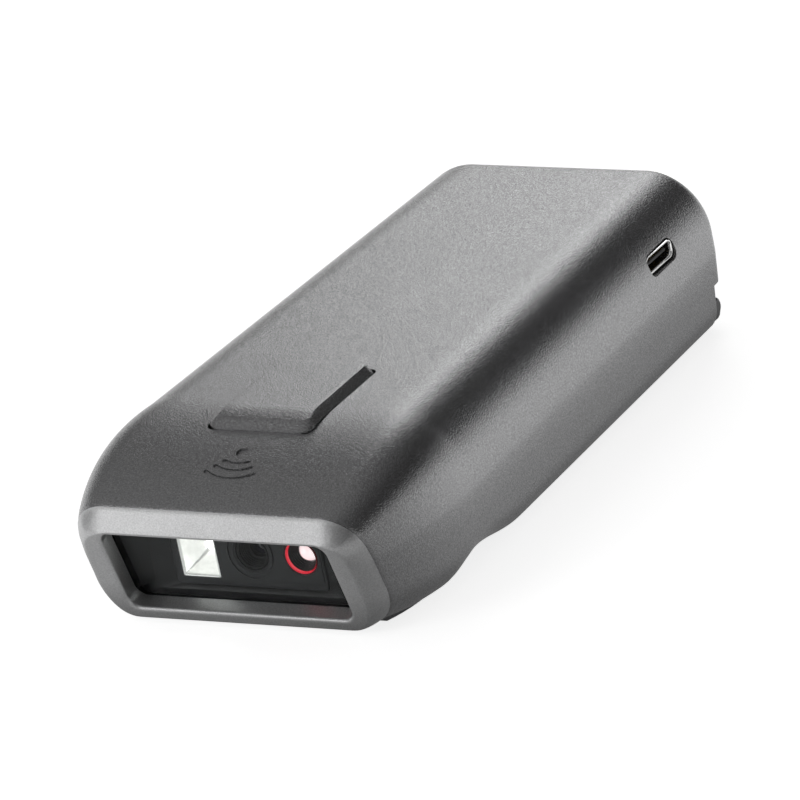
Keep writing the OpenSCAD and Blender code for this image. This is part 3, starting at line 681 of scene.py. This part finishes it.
# The point of a rounded rectangle that lies on the ray from its centre through (u, v)
def ray_to_opening(u, v, grow):
    cu, cv = 0, (OPEN_LOW + OPEN_HIGH) / 2
    hu, hv, r = OPEN_HALF + grow, (OPEN_HIGH - OPEN_LOW) / 2 + grow, OPEN_R + grow * 0.4
    du, dv = u - cu, v - cv
    scale = 1 / max(abs(du) / hu, abs(dv) / hv)
    low, high = scale * 0.8, scale
    for _ in range(30):
        mid = (low + high) / 2
        pu, pv = abs(du * mid), abs(dv * mid)
        eu, ev = max(0, pu - hu + r), max(0, pv - hv + r)
        if math.hypot(eu, ev) > r or pu > hu or pv > hv:
            high = mid
        else:
            low = mid
    return cu + du * low, cv + dv * low


EDGE_R = 0.7
bezel_rings = []
for inset in (0.3, 0.05):
    bezel_rings.append([
        (u - nu * inset, v - nv * inset, BEZEL_GAP) for (u, v), (nu, nv) in zip(outline, normals)])
for a in (6, 12, 20, 30, 40, 50, 60, 68, 75, 81, 86, 89.9):
    bezel_rings.append(bezel_ring(math.sin(math.radians(a))))
face_ring = bezel_rings[-1]
for t in (0.25, 0.6):
    ring = []
    for u, v, w in face_ring:
        ou, ov = ray_to_opening(u, v, 0.7)
        ring.append((u + (ou - u) * t, v + (ov - v) * t, BEZEL_T))
    bezel_rings.append(ring)
for turn in range(7):
    a = math.pi / 2 * turn / 6
    grow, out = EDGE_R * (1 - math.sin(a)), BEZEL_T - EDGE_R * (1 - math.cos(a))
    bezel_rings.append([(*ray_to_opening(u, v, grow), out) for u, v, w in face_ring])
bezel_rings.append([(*ray_to_opening(u, v, -0.02), 0.12) for u, v, w in face_ring])
bezel_rings.append([(*ray_to_opening(u, v, 0.35), 0.1) for u, v, w in face_ring])
bezel_rings = [[on_face(*p) for p in ring] for ring in bezel_rings]
bezel = ring_mesh("bezel_ring", bezel_rings, (False, False), closed=True)
soften(bezel, 38)
bezel_plastic = grained(
    "bezel_plastic", (0.45, 0.452, 0.456), (0.6, 0.602, 0.606), 4000, 0.36, 0.00004, metallic=0.84)
finish_piece(bezel, bezel_plastic, "scanner", "bezel_plastic", "front_bezel")

# ---- Window and gasket -----------------------------------------------------------------
# A hard-coated clear pane in a thin rubber gasket, clamped between the bezel and the housing.
PANE_T = 1.2


def face_plate(name, line, hole, back, front, bevel):
    outer_rings = []
    for inset, out in ((bevel, back), (0, back + bevel), (0, front - bevel), (bevel, front)):
        outer_rings.append([(u * (1 - inset / 24), v - (v - 12) * inset / 10, out) for u, v in line])
    if hole:
        for inset, out in ((0, front), (0, back)):
            outer_rings.append([(u, v, out) for u, v in hole])
        return ring_mesh(name, [[on_face(*p) for p in r] for r in outer_rings], (False, False), closed=True)
    return ring_mesh(name, [[on_face(*p) for p in r] for r in outer_rings])


# Slow patches between two colours over a piece: the noise node and the colour it gives
def patches(made, cells, low, high):
    nodes, links = made.node_tree.nodes, made.node_tree.links
    where, patch, blend = (nodes.new(kind) for kind in (
        "ShaderNodeTexCoord", "ShaderNodeTexNoise", "ShaderNodeMix"))
    patch.inputs["Scale"].default_value = cells
    blend.data_type = "RGBA"
    sock(blend.inputs, "A_Color").default_value = (*low, 1)
    sock(blend.inputs, "B_Color").default_value = (*high, 1)
    links.new(where.outputs["Object"], patch.inputs["Vector"])
    links.new(patch.outputs["Fac"], sock(blend.inputs, "Factor_Float"))
    return patch, sock(blend.outputs, "Result_Color")


pane_line = round_rect(-22.8, 22.8, 2.85, 21.4, 2.6)
pane = face_plate("window_glass", pane_line, None, -PANE_T - 0.05, -0.05, 0.15)
soften(pane, 25)
clear_window, window_shader = new_material("clear_window", ior=1.18)
window_shader.inputs["Transmission Weight"].default_value = 1
w_nodes, w_links = clear_window.node_tree.nodes, clear_window.node_tree.links
smear, tint = patches(clear_window, 130, (0.86, 0.88, 0.88), (0.8, 0.83, 0.83))
smear_range = level_range(w_nodes, 0, 1, 0, 0.03)
w_links.new(smear.outputs["Fac"], smear_range.inputs["Value"])
w_links.new(smear_range.outputs["Result"], window_shader.inputs["Roughness"])
w_links.new(tint, window_shader.inputs["Base Color"])
let_light = w_nodes.new("ShaderNodeMixShader")
through = w_nodes.new("ShaderNodeBsdfTransparent")
path = w_nodes.new("ShaderNodeLightPath")
w_links.new(path.outputs["Is Shadow Ray"], let_light.inputs[0])
w_links.new(window_shader.outputs["BSDF"], let_light.inputs[1])
w_links.new(through.outputs["BSDF"], let_light.inputs[2])
w_links.new(let_light.outputs["Shader"], w_nodes["Material Output"].inputs["Surface"])
finish_piece(pane, clear_window, "scanner", "clear_window", "window_pane")

gasket_line = round_rect(-23.9, 23.9, 2.6, 22.45, 3.4)
gasket_hole = round_rect(-22.85, 22.85, 2.8, 21.45, 2.65)
gasket = face_plate("pane_gasket", gasket_line, gasket_hole, -PANE_T - 0.05, -0.02, 0.12)
soften(gasket, 30)
black_rubber = grained("black_rubber", (0.008, 0.008, 0.008), (0.02, 0.02, 0.02), 2600, 0.7, 0.00003)
finish_piece(gasket, black_rubber, "scanner", "black_rubber", "window_gasket")

# ---- Light baffle ----------------------------------------------------------------------
# A black funnel behind the window that keeps the lamp's light off the camera.
engine_low, engine_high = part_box("engine_body")
ENGINE_Y, ENGINE_BACK = engine_low.y / MM, engine_high.y / MM
ENGINE_HALF = engine_high.x / MM
ENGINE_LOW, ENGINE_TOP = engine_low.z / MM, engine_high.z / MM


def box_ring(y_of, half, z0, z1):
    line = round_rect(-half, half, z0, z1, 1.2, 5)
    return [(x, y_of(z), z) for x, z in line]


def lean_front(z):
    return SEAM_Y + (PANE_T + 0.3) / math.cos(FACE_LEAN) - FACE_RUN * z


baffle_rings = [
    box_ring(lean_front, 21.1, 3.7, 19.1), box_ring(lambda z: ENGINE_Y - 0.5, 18.5, 4.7, 18.3),
    box_ring(lambda z: ENGINE_Y + 0.3, ENGINE_HALF + 0.12, ENGINE_LOW - 0.12, ENGINE_TOP + 0.12),
    box_ring(lambda z: ENGINE_Y + 8, ENGINE_HALF + 0.12, ENGINE_LOW - 0.12, ENGINE_TOP + 0.12),
    box_ring(lambda z: ENGINE_Y + 8, ENGINE_HALF + 0.9, ENGINE_LOW - 0.9, ENGINE_TOP + 0.9),
    box_ring(lambda z: ENGINE_Y + 0.2, 19.3, 3.9, 19.0), box_ring(lean_front, 21.2, 3.6, 19.2),
]
baffle = ring_mesh("funnel_baffle", baffle_rings, (False, False), closed=True)
soften(baffle, 30)
black_plastic = grained(
    "black_plastic", (0.004, 0.004, 0.0045), (0.010, 0.010, 0.011), 2600, 0.42, 0.00002, contrast=1.2)
finish_piece(baffle, black_plastic, "scanner", "black_plastic", "light_baffle")

# ---- Scan engine body ------------------------------------------------------------------
# A black moulded block with three wells in its face: lamp on the left, camera in the middle and
# aimer on the right. Turned steps ring the camera's well.
LAMP_X, LAMP_Z, LAMP_HALF = -9.5, 10.4, 3.65
CAM_X, CAM_Z, CAM_R = 0.9, 11.5, 3.15
AIM_X, AIM_Z, AIM_R = 10.4, 11.4, 3.0


# A turned part that runs back from the engine's face: (radius, depth behind the face)
def turned(name, x, z, profile, n=72, closed=False, caps=(True, True)):
    rings = [[(px, ENGINE_Y + depth, pz) for px, pz in circle_line(x, z, r, n)] for r, depth in profile]
    return ring_mesh(name, rings, caps, closed)


def plate_ring(y, inset):
    line = round_rect(
        -ENGINE_HALF + inset, ENGINE_HALF - inset, ENGINE_LOW + inset, ENGINE_TOP - inset, 0.8, 5)
    return [(x, y, z) for x, z in line]


engine = ring_mesh("engine_block", [
    plate_ring(ENGINE_Y, 0.25), plate_ring(ENGINE_Y + 0.08, 0.08), plate_ring(ENGINE_Y + 0.25, 0),
    plate_ring(ENGINE_BACK - 0.2, 0), plate_ring(ENGINE_BACK, 0.2)])
lamp_well = block(
    "lamp_well", LAMP_X - LAMP_HALF, LAMP_X + LAMP_HALF, ENGINE_Y - 1, ENGINE_Y + 5.6,
    LAMP_Z - LAMP_HALF, LAMP_Z + LAMP_HALF)
cam_well = turned(
    "cam_well", CAM_X, CAM_Z, [(CAM_R + 0.35, -1), (CAM_R + 0.35, 0), (CAM_R, 0.3), (CAM_R, 9)])
cam_step = turned("cam_step", CAM_X, CAM_Z, [(4.45, -1), (4.45, 0.2), (4.05, 0.2), (4.05, -1)], closed=True,
                  caps=(False, False))
aim_well = turned(
    "aim_well", AIM_X, AIM_Z, [(AIM_R + 0.25, -1), (AIM_R + 0.25, 0), (AIM_R, 0.25), (AIM_R, 7)])
side_mark = block("side_mark", 14.0, 14.2, ENGINE_Y - 1, ENGINE_Y + 0.2, 7, 16)
carve(engine, [lamp_well, cam_well, cam_step, aim_well, side_mark])
soften(engine, 30)
engine_plastic = grained(
    "engine_plastic", (0.036, 0.036, 0.038), (0.046, 0.046, 0.048), 2600, 0.42, 0.00001)
finish_piece(engine, engine_plastic, "scanner", "black_plastic", "engine_body")

# ---- Lamp ------------------------------------------------------------------------------
# A square metallised funnel round a white LED. Four flat walls meet in creased corners and end
# in the LED's dome, and each wall mirrors the others.
FUNNEL_DEPTH, FUNNEL_BOW, THROAT = 4.4, 0.32, 0.95
DOME_R, DOME_RISE = 1.15, 0.7


def square_ring(half, depth, corner):
    line = round_rect(LAMP_X - half, LAMP_X + half, LAMP_Z - half, LAMP_Z + half, corner, 4)
    return [(x, ENGINE_Y + depth, z) for x, z in line]


funnel_rings = [square_ring(LAMP_HALF - 0.05, 0.12, 0.3), square_ring(LAMP_HALF - 0.2, 0.0, 0.3)]
for s in range(9):
    t = s / 8
    half = (LAMP_HALF - 0.3) * (1 - t) + THROAT * t + FUNNEL_BOW * math.sin(math.pi * t)
    funnel_rings.append(square_ring(half, 0.05 + (FUNNEL_DEPTH - 0.15) * t, 0.12 + 0.5 * t))
funnel_rings += [square_ring(LAMP_HALF - 0.05, FUNNEL_DEPTH, 0.3)]
funnel = ring_mesh("lamp_funnel", funnel_rings, (False, False), closed=True)
soften(funnel, 40)
bright_metal = grained(
    "bright_metal", (0.82, 0.82, 0.80), (0.97, 0.97, 0.95), 900, 0.28, 0.00005,
    metallic=1.0, gloss_change=0.1)
# The funnel's metal has a faint painted glow that stands in for the LED's light falling on its walls
metal_shader = bright_metal.node_tree.nodes["Principled BSDF"]
metal_shader.inputs["Emission Color"].default_value = (1, 1, 0.96, 1)
metal_shader.inputs["Emission Strength"].default_value = 0.38
finish_piece(funnel, bright_metal, "scanner", "bright_metal", "lamp_reflector")

dome_profile = []
for t in range(9):
    a = math.pi / 2 * t / 8
    dome_profile.append((max(DOME_R * math.sin(a), 0.02), FUNNEL_DEPTH + 0.35 - DOME_RISE * math.cos(a)))
dome_profile.append((DOME_R + 0.05, FUNNEL_DEPTH + 1.05))
led = turned("lamp_dome", LAMP_X, LAMP_Z, dome_profile, n=32)
soften(led, 40)
lamp_white, lamp_shader = new_material("lamp_white")


# A glowing surface whose brightness falls off in patches, as a phosphor does
def glowing(made, shader, dark, light, cells, strength, roughness=0.3):
    colour = patches(made, cells, dark, light)[1]
    made.node_tree.links.new(colour, shader.inputs["Base Color"])
    made.node_tree.links.new(colour, shader.inputs["Emission Color"])
    shader.inputs["Emission Strength"].default_value = strength
    shader.inputs["Roughness"].default_value = roughness


glowing(lamp_white, lamp_shader, (0.95, 0.9, 0.8), (1, 1, 0.97), 900, 22.0)
finish_piece(led, lamp_white, "scanner", "lamp_white", "lamp_led")

# ---- Camera ----------------------------------------------------------------------------
# A black turned barrel with stepped light traps round a small coated lens.
barrel_profile = [(CAM_R - 0.08, 0.5), (CAM_R - 0.3, 0.35), (2.62, 0.35), (2.5, 0.5)]
for i in range(4):
    z = 0.75 + i * 0.42
    barrel_profile += [(2.5 - i * 0.04, z), (2.36 - i * 0.04, z + 0.14), (2.46 - i * 0.04, z + 0.28)]
barrel_profile += [(2.2, 2.5), (1.75, 2.62), (1.7, 3.3), (1.68, 8.8), (CAM_R - 0.08, 8.8)]
barrel = turned("camera_tube", CAM_X, CAM_Z, barrel_profile, closed=True, caps=(False, False))
soften(barrel, 28)
matt_black = grained("matt_black", (0.004, 0.004, 0.004), (0.009, 0.009, 0.009), 2600, 0.5, 0.00001)
finish_piece(barrel, matt_black, "scanner", "black_plastic", "camera_barrel")


# A bulging lens: front radius r, sag and depth of its rim behind the engine's face
def lens_piece(name, x, z, r, sag, rim, thick):
    rings = []
    for i in range(13):
        a = i / 12
        rings.append((
            max(0.02, r * math.sin(math.pi / 2 * a)), rim - sag * math.cos(math.pi / 2 * a) ** 1.4))
    rings += [(r, rim + thick), (0.02, rim + thick)]
    made = turned(name, x, z, rings, n=48)
    soften(made, 40)
    return made


camera_lens = lens_piece("camera_glass", CAM_X, CAM_Z, 1.66, 0.55, 3.5, 1.4)
lens_glass, lens_shader = new_material("lens_glass", ior=1.7, coat=1.0)
lens_tint = patches(lens_glass, 500, (0.004, 0.005, 0.012), (0.012, 0.010, 0.02))[1]
lens_glass.node_tree.links.new(lens_tint, lens_shader.inputs["Base Color"])
lens_shader.inputs["Roughness"].default_value = 0.06
finish_piece(camera_lens, lens_glass, "scanner", "lens_glass", "camera_lens")

# ---- Aimer -----------------------------------------------------------------------------
# A red light-guide ring round a black barrel, with a bright domed lens that sends the aiming dot.
ring_profile = [(AIM_R - 0.04, 0.1), (AIM_R - 0.08, 0.02), (AIM_R - 0.2, 0.0), (AIM_R - 0.26, 0.1),
                (AIM_R - 0.26, 0.62), (AIM_R - 0.04, 0.62)]
aim_ring = turned("aimer_guide", AIM_X, AIM_Z, ring_profile, closed=True, caps=(False, False))
soften(aim_ring, 60)
red_plastic, red_shader = new_material("red_plastic", coat=0.3)
glowing(red_plastic, red_shader, (0.75, 0.01, 0.03), (1.0, 0.05, 0.08), 420, 0.9, 0.25)
# The guide leaks most light low on its left, next to its own feed
red_plastic.node_tree.links.remove(red_shader.inputs["Base Color"].links[0])
red_shader.inputs["Base Color"].default_value = (0.16, 0.0, 0.004, 1)
r_nodes, r_links = red_plastic.node_tree.nodes, red_plastic.node_tree.links
r_place, r_side = r_nodes.new("ShaderNodeTexCoord"), r_nodes.new("ShaderNodeVectorMath")
r_side.operation = "DOT_PRODUCT"
FEED_X, FEED_Z = -0.75, -0.66
r_side.inputs[1].default_value = (FEED_X, 0, FEED_Z)
middle = (FEED_X * AIM_X + FEED_Z * AIM_Z) * MM
r_level = level_range(r_nodes, middle - 0.0014, middle + 0.0006, 0.02, 0.8)
r_links.new(r_place.outputs["Object"], r_side.inputs[0])
r_links.new(r_side.outputs["Value"], r_level.inputs["Value"])
r_links.new(r_level.outputs["Result"], red_shader.inputs["Emission Strength"])
finish_piece(aim_ring, red_plastic, "scanner", "red_plastic", "aimer_ring")

aim_profile = [(AIM_R - 0.08, 0.7), (AIM_R - 0.3, 0.66)]
for i in range(4):
    r, depth = 2.62 - i * 0.14, 0.75 + i * 0.42
    aim_profile += [(r, depth), (r - 0.16, depth + 0.12), (r - 0.02, depth + 0.32)]
aim_profile += [(1.9, 2.5), (1.88, 3.1), (1.45, 3.2), (1.42, 6.8), (AIM_R - 0.08, 6.8)]
aim_barrel = turned("aimer_tube", AIM_X, AIM_Z, aim_profile, closed=True, caps=(False, False))
soften(aim_barrel, 28)
finish_piece(aim_barrel, black_plastic, "scanner", "black_plastic", "aimer_barrel")

aim_lens = lens_piece("aimer_glass", AIM_X, AIM_Z, 1.85, 1.75, 2.95, 0.15)
aimer_glow, aimer_shader = new_material("aimer_glow", ior=1.5, coat=1.0)
glowing(aimer_glow, aimer_shader, (1.0, 0.62, 0.64), (1.0, 1.0, 1.0), 900, 1.15, 0.12)
finish_piece(aim_lens, aimer_glow, "scanner", "aimer_glow", "aimer_lens")

# ---- Socket ----------------------------------------------------------------------------
# A drawn stainless USB-C shell with a rolled mouth, a black tongue and two rows of gold contacts.
USB_HALF_L, USB_HALF_H, USB_R = 4.47, 1.63, 1.15
USB_OUT, USB_IN = usb_high.x / MM, usb_low.x / MM


def usb_ring(x, inset):
    line = round_rect(USB_Y - USB_HALF_L + inset, USB_Y + USB_HALF_L - inset,
                      USB_Z - USB_HALF_H + inset, USB_Z + USB_HALF_H - inset, USB_R - inset, 10)
    return [(x, y, z) for y, z in line]


usb_rings = [usb_ring(USB_IN, 0), usb_ring(USB_OUT - 0.12, 0), usb_ring(USB_OUT - 0.03, 0.04),
             usb_ring(USB_OUT, 0.12), usb_ring(USB_OUT - 0.03, 0.2), usb_ring(USB_OUT - 0.3, 0.34),
             usb_ring(USB_OUT - 0.6, 0.4), usb_ring(USB_IN + 0.6, 0.4)]
usb_case = ring_mesh("socket_case", usb_rings)
soften(usb_case, 40)
steel = grained("steel", (0.86, 0.86, 0.86), (0.95, 0.95, 0.94), 1400, 0.16, 0.00001, metallic=1.0)
finish_piece(usb_case, steel, "scanner", "steel", "usb_shell")

tongue_low, tongue_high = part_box("usb_tongue")


def tongue_ring(x, inset):
    y0, y1, z0, z1 = (v / MM for v in (tongue_low.y, tongue_high.y, tongue_low.z, tongue_high.z))
    return [(x, y, z) for y, z in round_rect(y0 + inset, y1 - inset, z0 + inset, z1 - inset, 0.12, 3)]


tongue = ring_mesh("socket_tongue", [
    tongue_ring(tongue_low.x / MM, 0), tongue_ring(tongue_high.x / MM - 0.15, 0),
    tongue_ring(tongue_high.x / MM, 0.12)])
soften(tongue, 30)
finish_piece(tongue, black_plastic, "scanner", "black_plastic", "usb_tongue")


# Contacts as small bars on the points of both rows
def contact_tree():
    tree, start, put = point_tree("contact_rows", (("Bar size", "NodeSocketVector"),), "Contacts")
    bar = tree.nodes.new("GeometryNodeMeshCube")
    tree.links.new(start.outputs["Bar size"], bar.inputs["Size"])
    tree.links.new(bar.outputs["Mesh"], put.inputs["Instance"])
    return tree


gold_contact = grained(
    "gold_contact", (0.7, 0.5, 0.2), (0.9, 0.7, 0.32), 3000, 0.25, 0.000005, metallic=1.0)
contact_x0, contact_x1 = USB_IN + 1.2, USB_OUT - 1.0
contact_places = [((contact_x0 + contact_x1) / 2, USB_Y + (k - 5.5) * 0.5, USB_Z + side * 0.37)
                  for k in range(12) for side in (-1, 1)]
contacts = set_of_parts(
    "socket_contacts", contact_tree(), contact_places,
    {"Bar size": ((contact_x1 - contact_x0) * MM, 0.24 * MM, 0.06 * MM), "Finish": gold_contact})
finish_piece(contacts, gold_contact, "scanner", "gold_contact", "usb_contacts")

# ---- Scan key --------------------------------------------------------------------------
# A hard key cap in the housing's own plastic, held under the top by its flange. It slides straight
# down on to the switch, and a hairline gap runs round it.
key_top = KEY_HIGH.z / MM


def key_ring(z, side, front, rear, r):
    line = round_rect(-KEY_HALF_W + side, KEY_HALF_W - side, KEY_Y - KEY_HALF_L + front,
                      KEY_Y + KEY_HALF_L - rear, r, 8)
    return [(x, y, z) for x, y in line]


key_rings = [key_ring(25.0, 0.6, 0.6, 0.6, 1.6), key_ring(25.05, -1.5, -1.5, -1.5, 2.4)]
key_rings += [key_ring(25.7, -1.5, -1.5, -1.5, 2.4), key_ring(25.8, 0.6, 0.6, 0.6, 1.6)]
key_rings += [key_ring(26.9, 0.5, 0.5, 0.5, 1.6), key_ring(27.1, 0.0, 0.0, 0.0, 2.1)]
for z, side, front, rear, r in (
    (28.4, 0, -0.1, 0, 2.1), (28.9, 0, -0.1, 0, 2.1), (28.97, 0, 0.02, 0, 2.1), (29.3, 0.0, 0.34, 0, 2.1),
    (29.34, 0.05, 0.38, 0.0, 2.1), (29.7, 0.46, 0.75, 0.02, 2.0), (29.95, 0.74, 1.0, 0.04, 1.9),
    (30.08, 0.89, 1.16, 0.05, 1.85), (30.2, 1.02, 1.6, 0.07, 1.8), (30.32, 1.16, 2.2, 0.1, 1.7),
    (30.42, 1.29, 2.8, 0.14, 1.6), (30.52, 1.4, 3.6, 0.2, 1.5), (30.57, 1.46, 4.2, 0.25, 1.4),
    (key_top, 1.6, 5.2, 0.32, 1.3), (key_top, 2.2, 5.8, 0.9, 1.0),
):
    key_rings.append(key_ring(z, side, front, rear, r))
key = ring_mesh("scan_key_cap", key_rings)
stud = ring_mesh("stud", lathe_rings([(1.6, 24.3), (1.6, 25.4)], 0, KEY_Y))
carve(key, [stud], "UNION")
soften(key, 30)
finish_piece(key, grain_plastic, "key", "grain_plastic", "scan_key")

# ---- Hidden pieces ---------------------------------------------------------------------
# Boards, chips, battery, ribbon and switch stay as the CAD made them. Each gets the finish of its
# real material.
board_green = grained(
    "board_green", (0.006, 0.075, 0.03), (0.02, 0.16, 0.07), 420, 0.35, 0.00004, contrast=1.6, coat=0.4)
chip_black = grained("chip_black", (0.012, 0.012, 0.013), (0.03, 0.03, 0.031), 4200, 0.55, 0.00002)
tin_plate = grained("tin_plate", (0.5, 0.5, 0.49), (0.68, 0.68, 0.66), 1500, 0.32, 0.00001, metallic=1.0)
flex_amber = grained("flex_amber", (0.45, 0.2, 0.03), (0.62, 0.32, 0.07), 700, 0.3, 0.00001, coat=0.5)
connector_plastic = grained("connector_plastic", (0.68, 0.64, 0.54), (0.8, 0.77, 0.68), 1800, 0.5, 0.00001)
battery_foil = grained(
    "battery_foil", (0.42, 0.44, 0.46), (0.6, 0.62, 0.64), 260, 0.33, 0.0002,
    metallic=0.8, gloss_change=0.2)
black_foam = grained(
    "black_foam", (0.01, 0.01, 0.01), (0.035, 0.035, 0.035), 1300, 0.9, 0.0003, contrast=0.7)
wire_red = grained("wire_red", (0.42, 0.02, 0.015), (0.6, 0.05, 0.03), 1900, 0.45, 0.00001)
switch_red = grained("switch_red", (0.45, 0.05, 0.03), (0.62, 0.1, 0.06), 2200, 0.4, 0.00001)
hidden_finish = {
    "image_board": board_green, "main_board": board_green, "image_sensor": chip_black,
    "aimer_led": switch_red, "engine_bracket": tin_plate, "engine_screws": steel, "board_screws": steel,
    "flex_cable": flex_amber, "flex_connectors": connector_plastic, "processor": chip_black,
    "power_chip": chip_black, "wireless_module": tin_plate, "antenna": gold_contact,
    "buzzer": black_plastic, "vibration_motor": tin_plate, "battery_pack": battery_foil,
    "battery_pad": black_foam, "battery_connector": connector_plastic, "battery_lead": wire_red,
    "switch_body": black_plastic, "switch_plunger": switch_red, "key_seal": black_rubber,
}
for node_name, finish in hidden_finish.items():
    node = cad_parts[node_name]
    node.data.materials.clear()
    node.data.materials.append(finish)

# ---- Floor and light -------------------------------------------------------------------
# A pale sweep under a soft studio: a round lamp behind on the left, a strip in front on the left for
# the bezel, and a surround that is bright low down and above the front left.
floor_mesh = bpy.data.meshes.new("floor")
floor_z = cad_low.z - 0.0002
FLOOR_HALF = 8
floor_mesh.from_pydata(
    [(x * FLOOR_HALF, y * FLOOR_HALF, floor_z) for x, y in ((-1, -1), (1, -1), (1, 1), (-1, 1))],
    [], [(0, 1, 2, 3)])
floor = bpy.data.objects.new("floor", floor_mesh)
bpy.context.collection.objects.link(floor)
floor_paint = grained("floor_paint", (0.86, 0.86, 0.86), (0.9, 0.9, 0.9), 6, 0.8, 0.0001)
floor_shader = floor_paint.node_tree.nodes["Principled BSDF"]
floor_shader.inputs["Emission Color"].default_value = (1, 1, 1, 1)
floor_shader.inputs["Emission Strength"].default_value = 0.8


# A grey ramp from (place, level) pairs that start at 0 and end at 1
def level_ramp(nodes, stops):
    ramp = nodes.new("ShaderNodeValToRGB")
    ends = {0.0: 0, 1.0: -1}
    for at, level in stops:
        elements = ramp.color_ramp.elements
        stop = elements[ends[at]] if at in ends else elements.new(at)
        stop.color = (level, level, level, 1)
    return ramp


# What the object's sides mirror is the floor with a painted contact shade: dim close by, bright further out
f_nodes, f_links = floor_paint.node_tree.nodes, floor_paint.node_tree.links
f_path, reach = f_nodes.new("ShaderNodeLightPath"), level_range(f_nodes, 0, 0.06)
painted_near_shade = level_ramp(f_nodes, ((0.0, 0.16), (0.1, 0.3), (0.2, 0.49), (0.46, 0.51), (0.6, 0.93), (1.0, 1.0)))
far_light, by_ray = f_nodes.new("ShaderNodeEmission"), f_nodes.new("ShaderNodeMixShader")
# A painted shade makes it dimmer again in front on the right, away from the lamps
f_place, to_right = f_nodes.new("ShaderNodeTexCoord"), f_nodes.new("ShaderNodeVectorMath")
to_right.operation = "DOT_PRODUCT"
to_right.inputs[1].default_value = (0.6, -0.8, 0)
painted_right_shade = level_range(f_nodes, 0.035, 0.085, 1.0, 0.42)
painted_right_shade.interpolation_type = "SMOOTHSTEP"
both = f_nodes.new("ShaderNodeMath")
both.operation = "MULTIPLY"
f_links.new(f_place.outputs["Object"], to_right.inputs[0])
f_links.new(to_right.outputs["Value"], painted_right_shade.inputs["Value"])
f_links.new(f_path.outputs["Ray Length"], reach.inputs["Value"])
f_links.new(reach.outputs["Result"], painted_near_shade.inputs["Fac"])
f_links.new(painted_near_shade.outputs["Color"], both.inputs[0])
f_links.new(painted_right_shade.outputs["Result"], both.inputs[1])
f_links.new(both.outputs["Value"], far_light.inputs["Strength"])
f_links.new(f_path.outputs["Is Camera Ray"], by_ray.inputs[0])
f_links.new(far_light.outputs["Emission"], by_ray.inputs[1])
f_links.new(floor_shader.outputs["BSDF"], by_ray.inputs[2])
f_links.new(by_ray.outputs["Shader"], f_nodes["Material Output"].inputs["Surface"])
floor_mesh.materials.append(floor_paint)

world = bpy.data.worlds.new("surround")
bpy.context.scene.world = world
world.use_nodes = True
w_nodes, w_links = world.node_tree.nodes, world.node_tree.links
direction = w_nodes.new("ShaderNodeTexCoord")
# Brightest above the front left, dark behind the right, with a low bright horizon
lean = w_nodes.new("ShaderNodeVectorMath")
lean.operation = "DOT_PRODUCT"
lean.inputs[1].default_value = Vector((-0.5, -0.2, 0.8)).normalized()
dome = level_ramp(w_nodes, ((0.0, 0.045), (0.35, 0.10), (0.75, 0.26), (1.0, 0.36)))
parts = w_nodes.new("ShaderNodeSeparateXYZ")
horizon = level_range(w_nodes, 0.1, 0.17, 0.85, 0.0)
sky = w_nodes.new("ShaderNodeMath")
sky.operation = "ADD"
w_links.new(direction.outputs["Generated"], lean.inputs[0])
w_links.new(lean.outputs["Value"], dome.inputs["Fac"])
w_links.new(direction.outputs["Generated"], parts.inputs["Vector"])
w_links.new(parts.outputs["Z"], horizon.inputs["Value"])
w_links.new(dome.outputs["Color"], sky.inputs[0])
w_links.new(horizon.outputs["Result"], sky.inputs[1])
w_links.new(sky.outputs["Value"], w_nodes["Background"].inputs["Color"])


def area_lamp(name, azimuth, elevation, distance, width, height, power):
    a, e = math.radians(azimuth), math.radians(elevation)
    away = Vector((math.sin(a) * math.cos(e), -math.cos(a) * math.cos(e), math.sin(e)))
    data = bpy.data.lights.new(name, "AREA")
    data.shape = "ELLIPSE"
    data.size, data.size_y, data.energy = width, height, power
    lamp = bpy.data.objects.new(name, data)
    bpy.context.collection.objects.link(lamp)
    lamp.location = away * distance
    lamp.rotation_mode = "QUATERNION"
    lamp.rotation_quaternion = away.to_track_quat("Z", "Y")


area_lamp("back_lamp", 203, 31, 0.6, 0.3, 0.27, 0.44)
area_lamp("front_strip", -34, 25, 1.1, 0.5, 0.3, 1.15)

scene = bpy.context.scene
scene.view_settings.view_transform = "Standard"
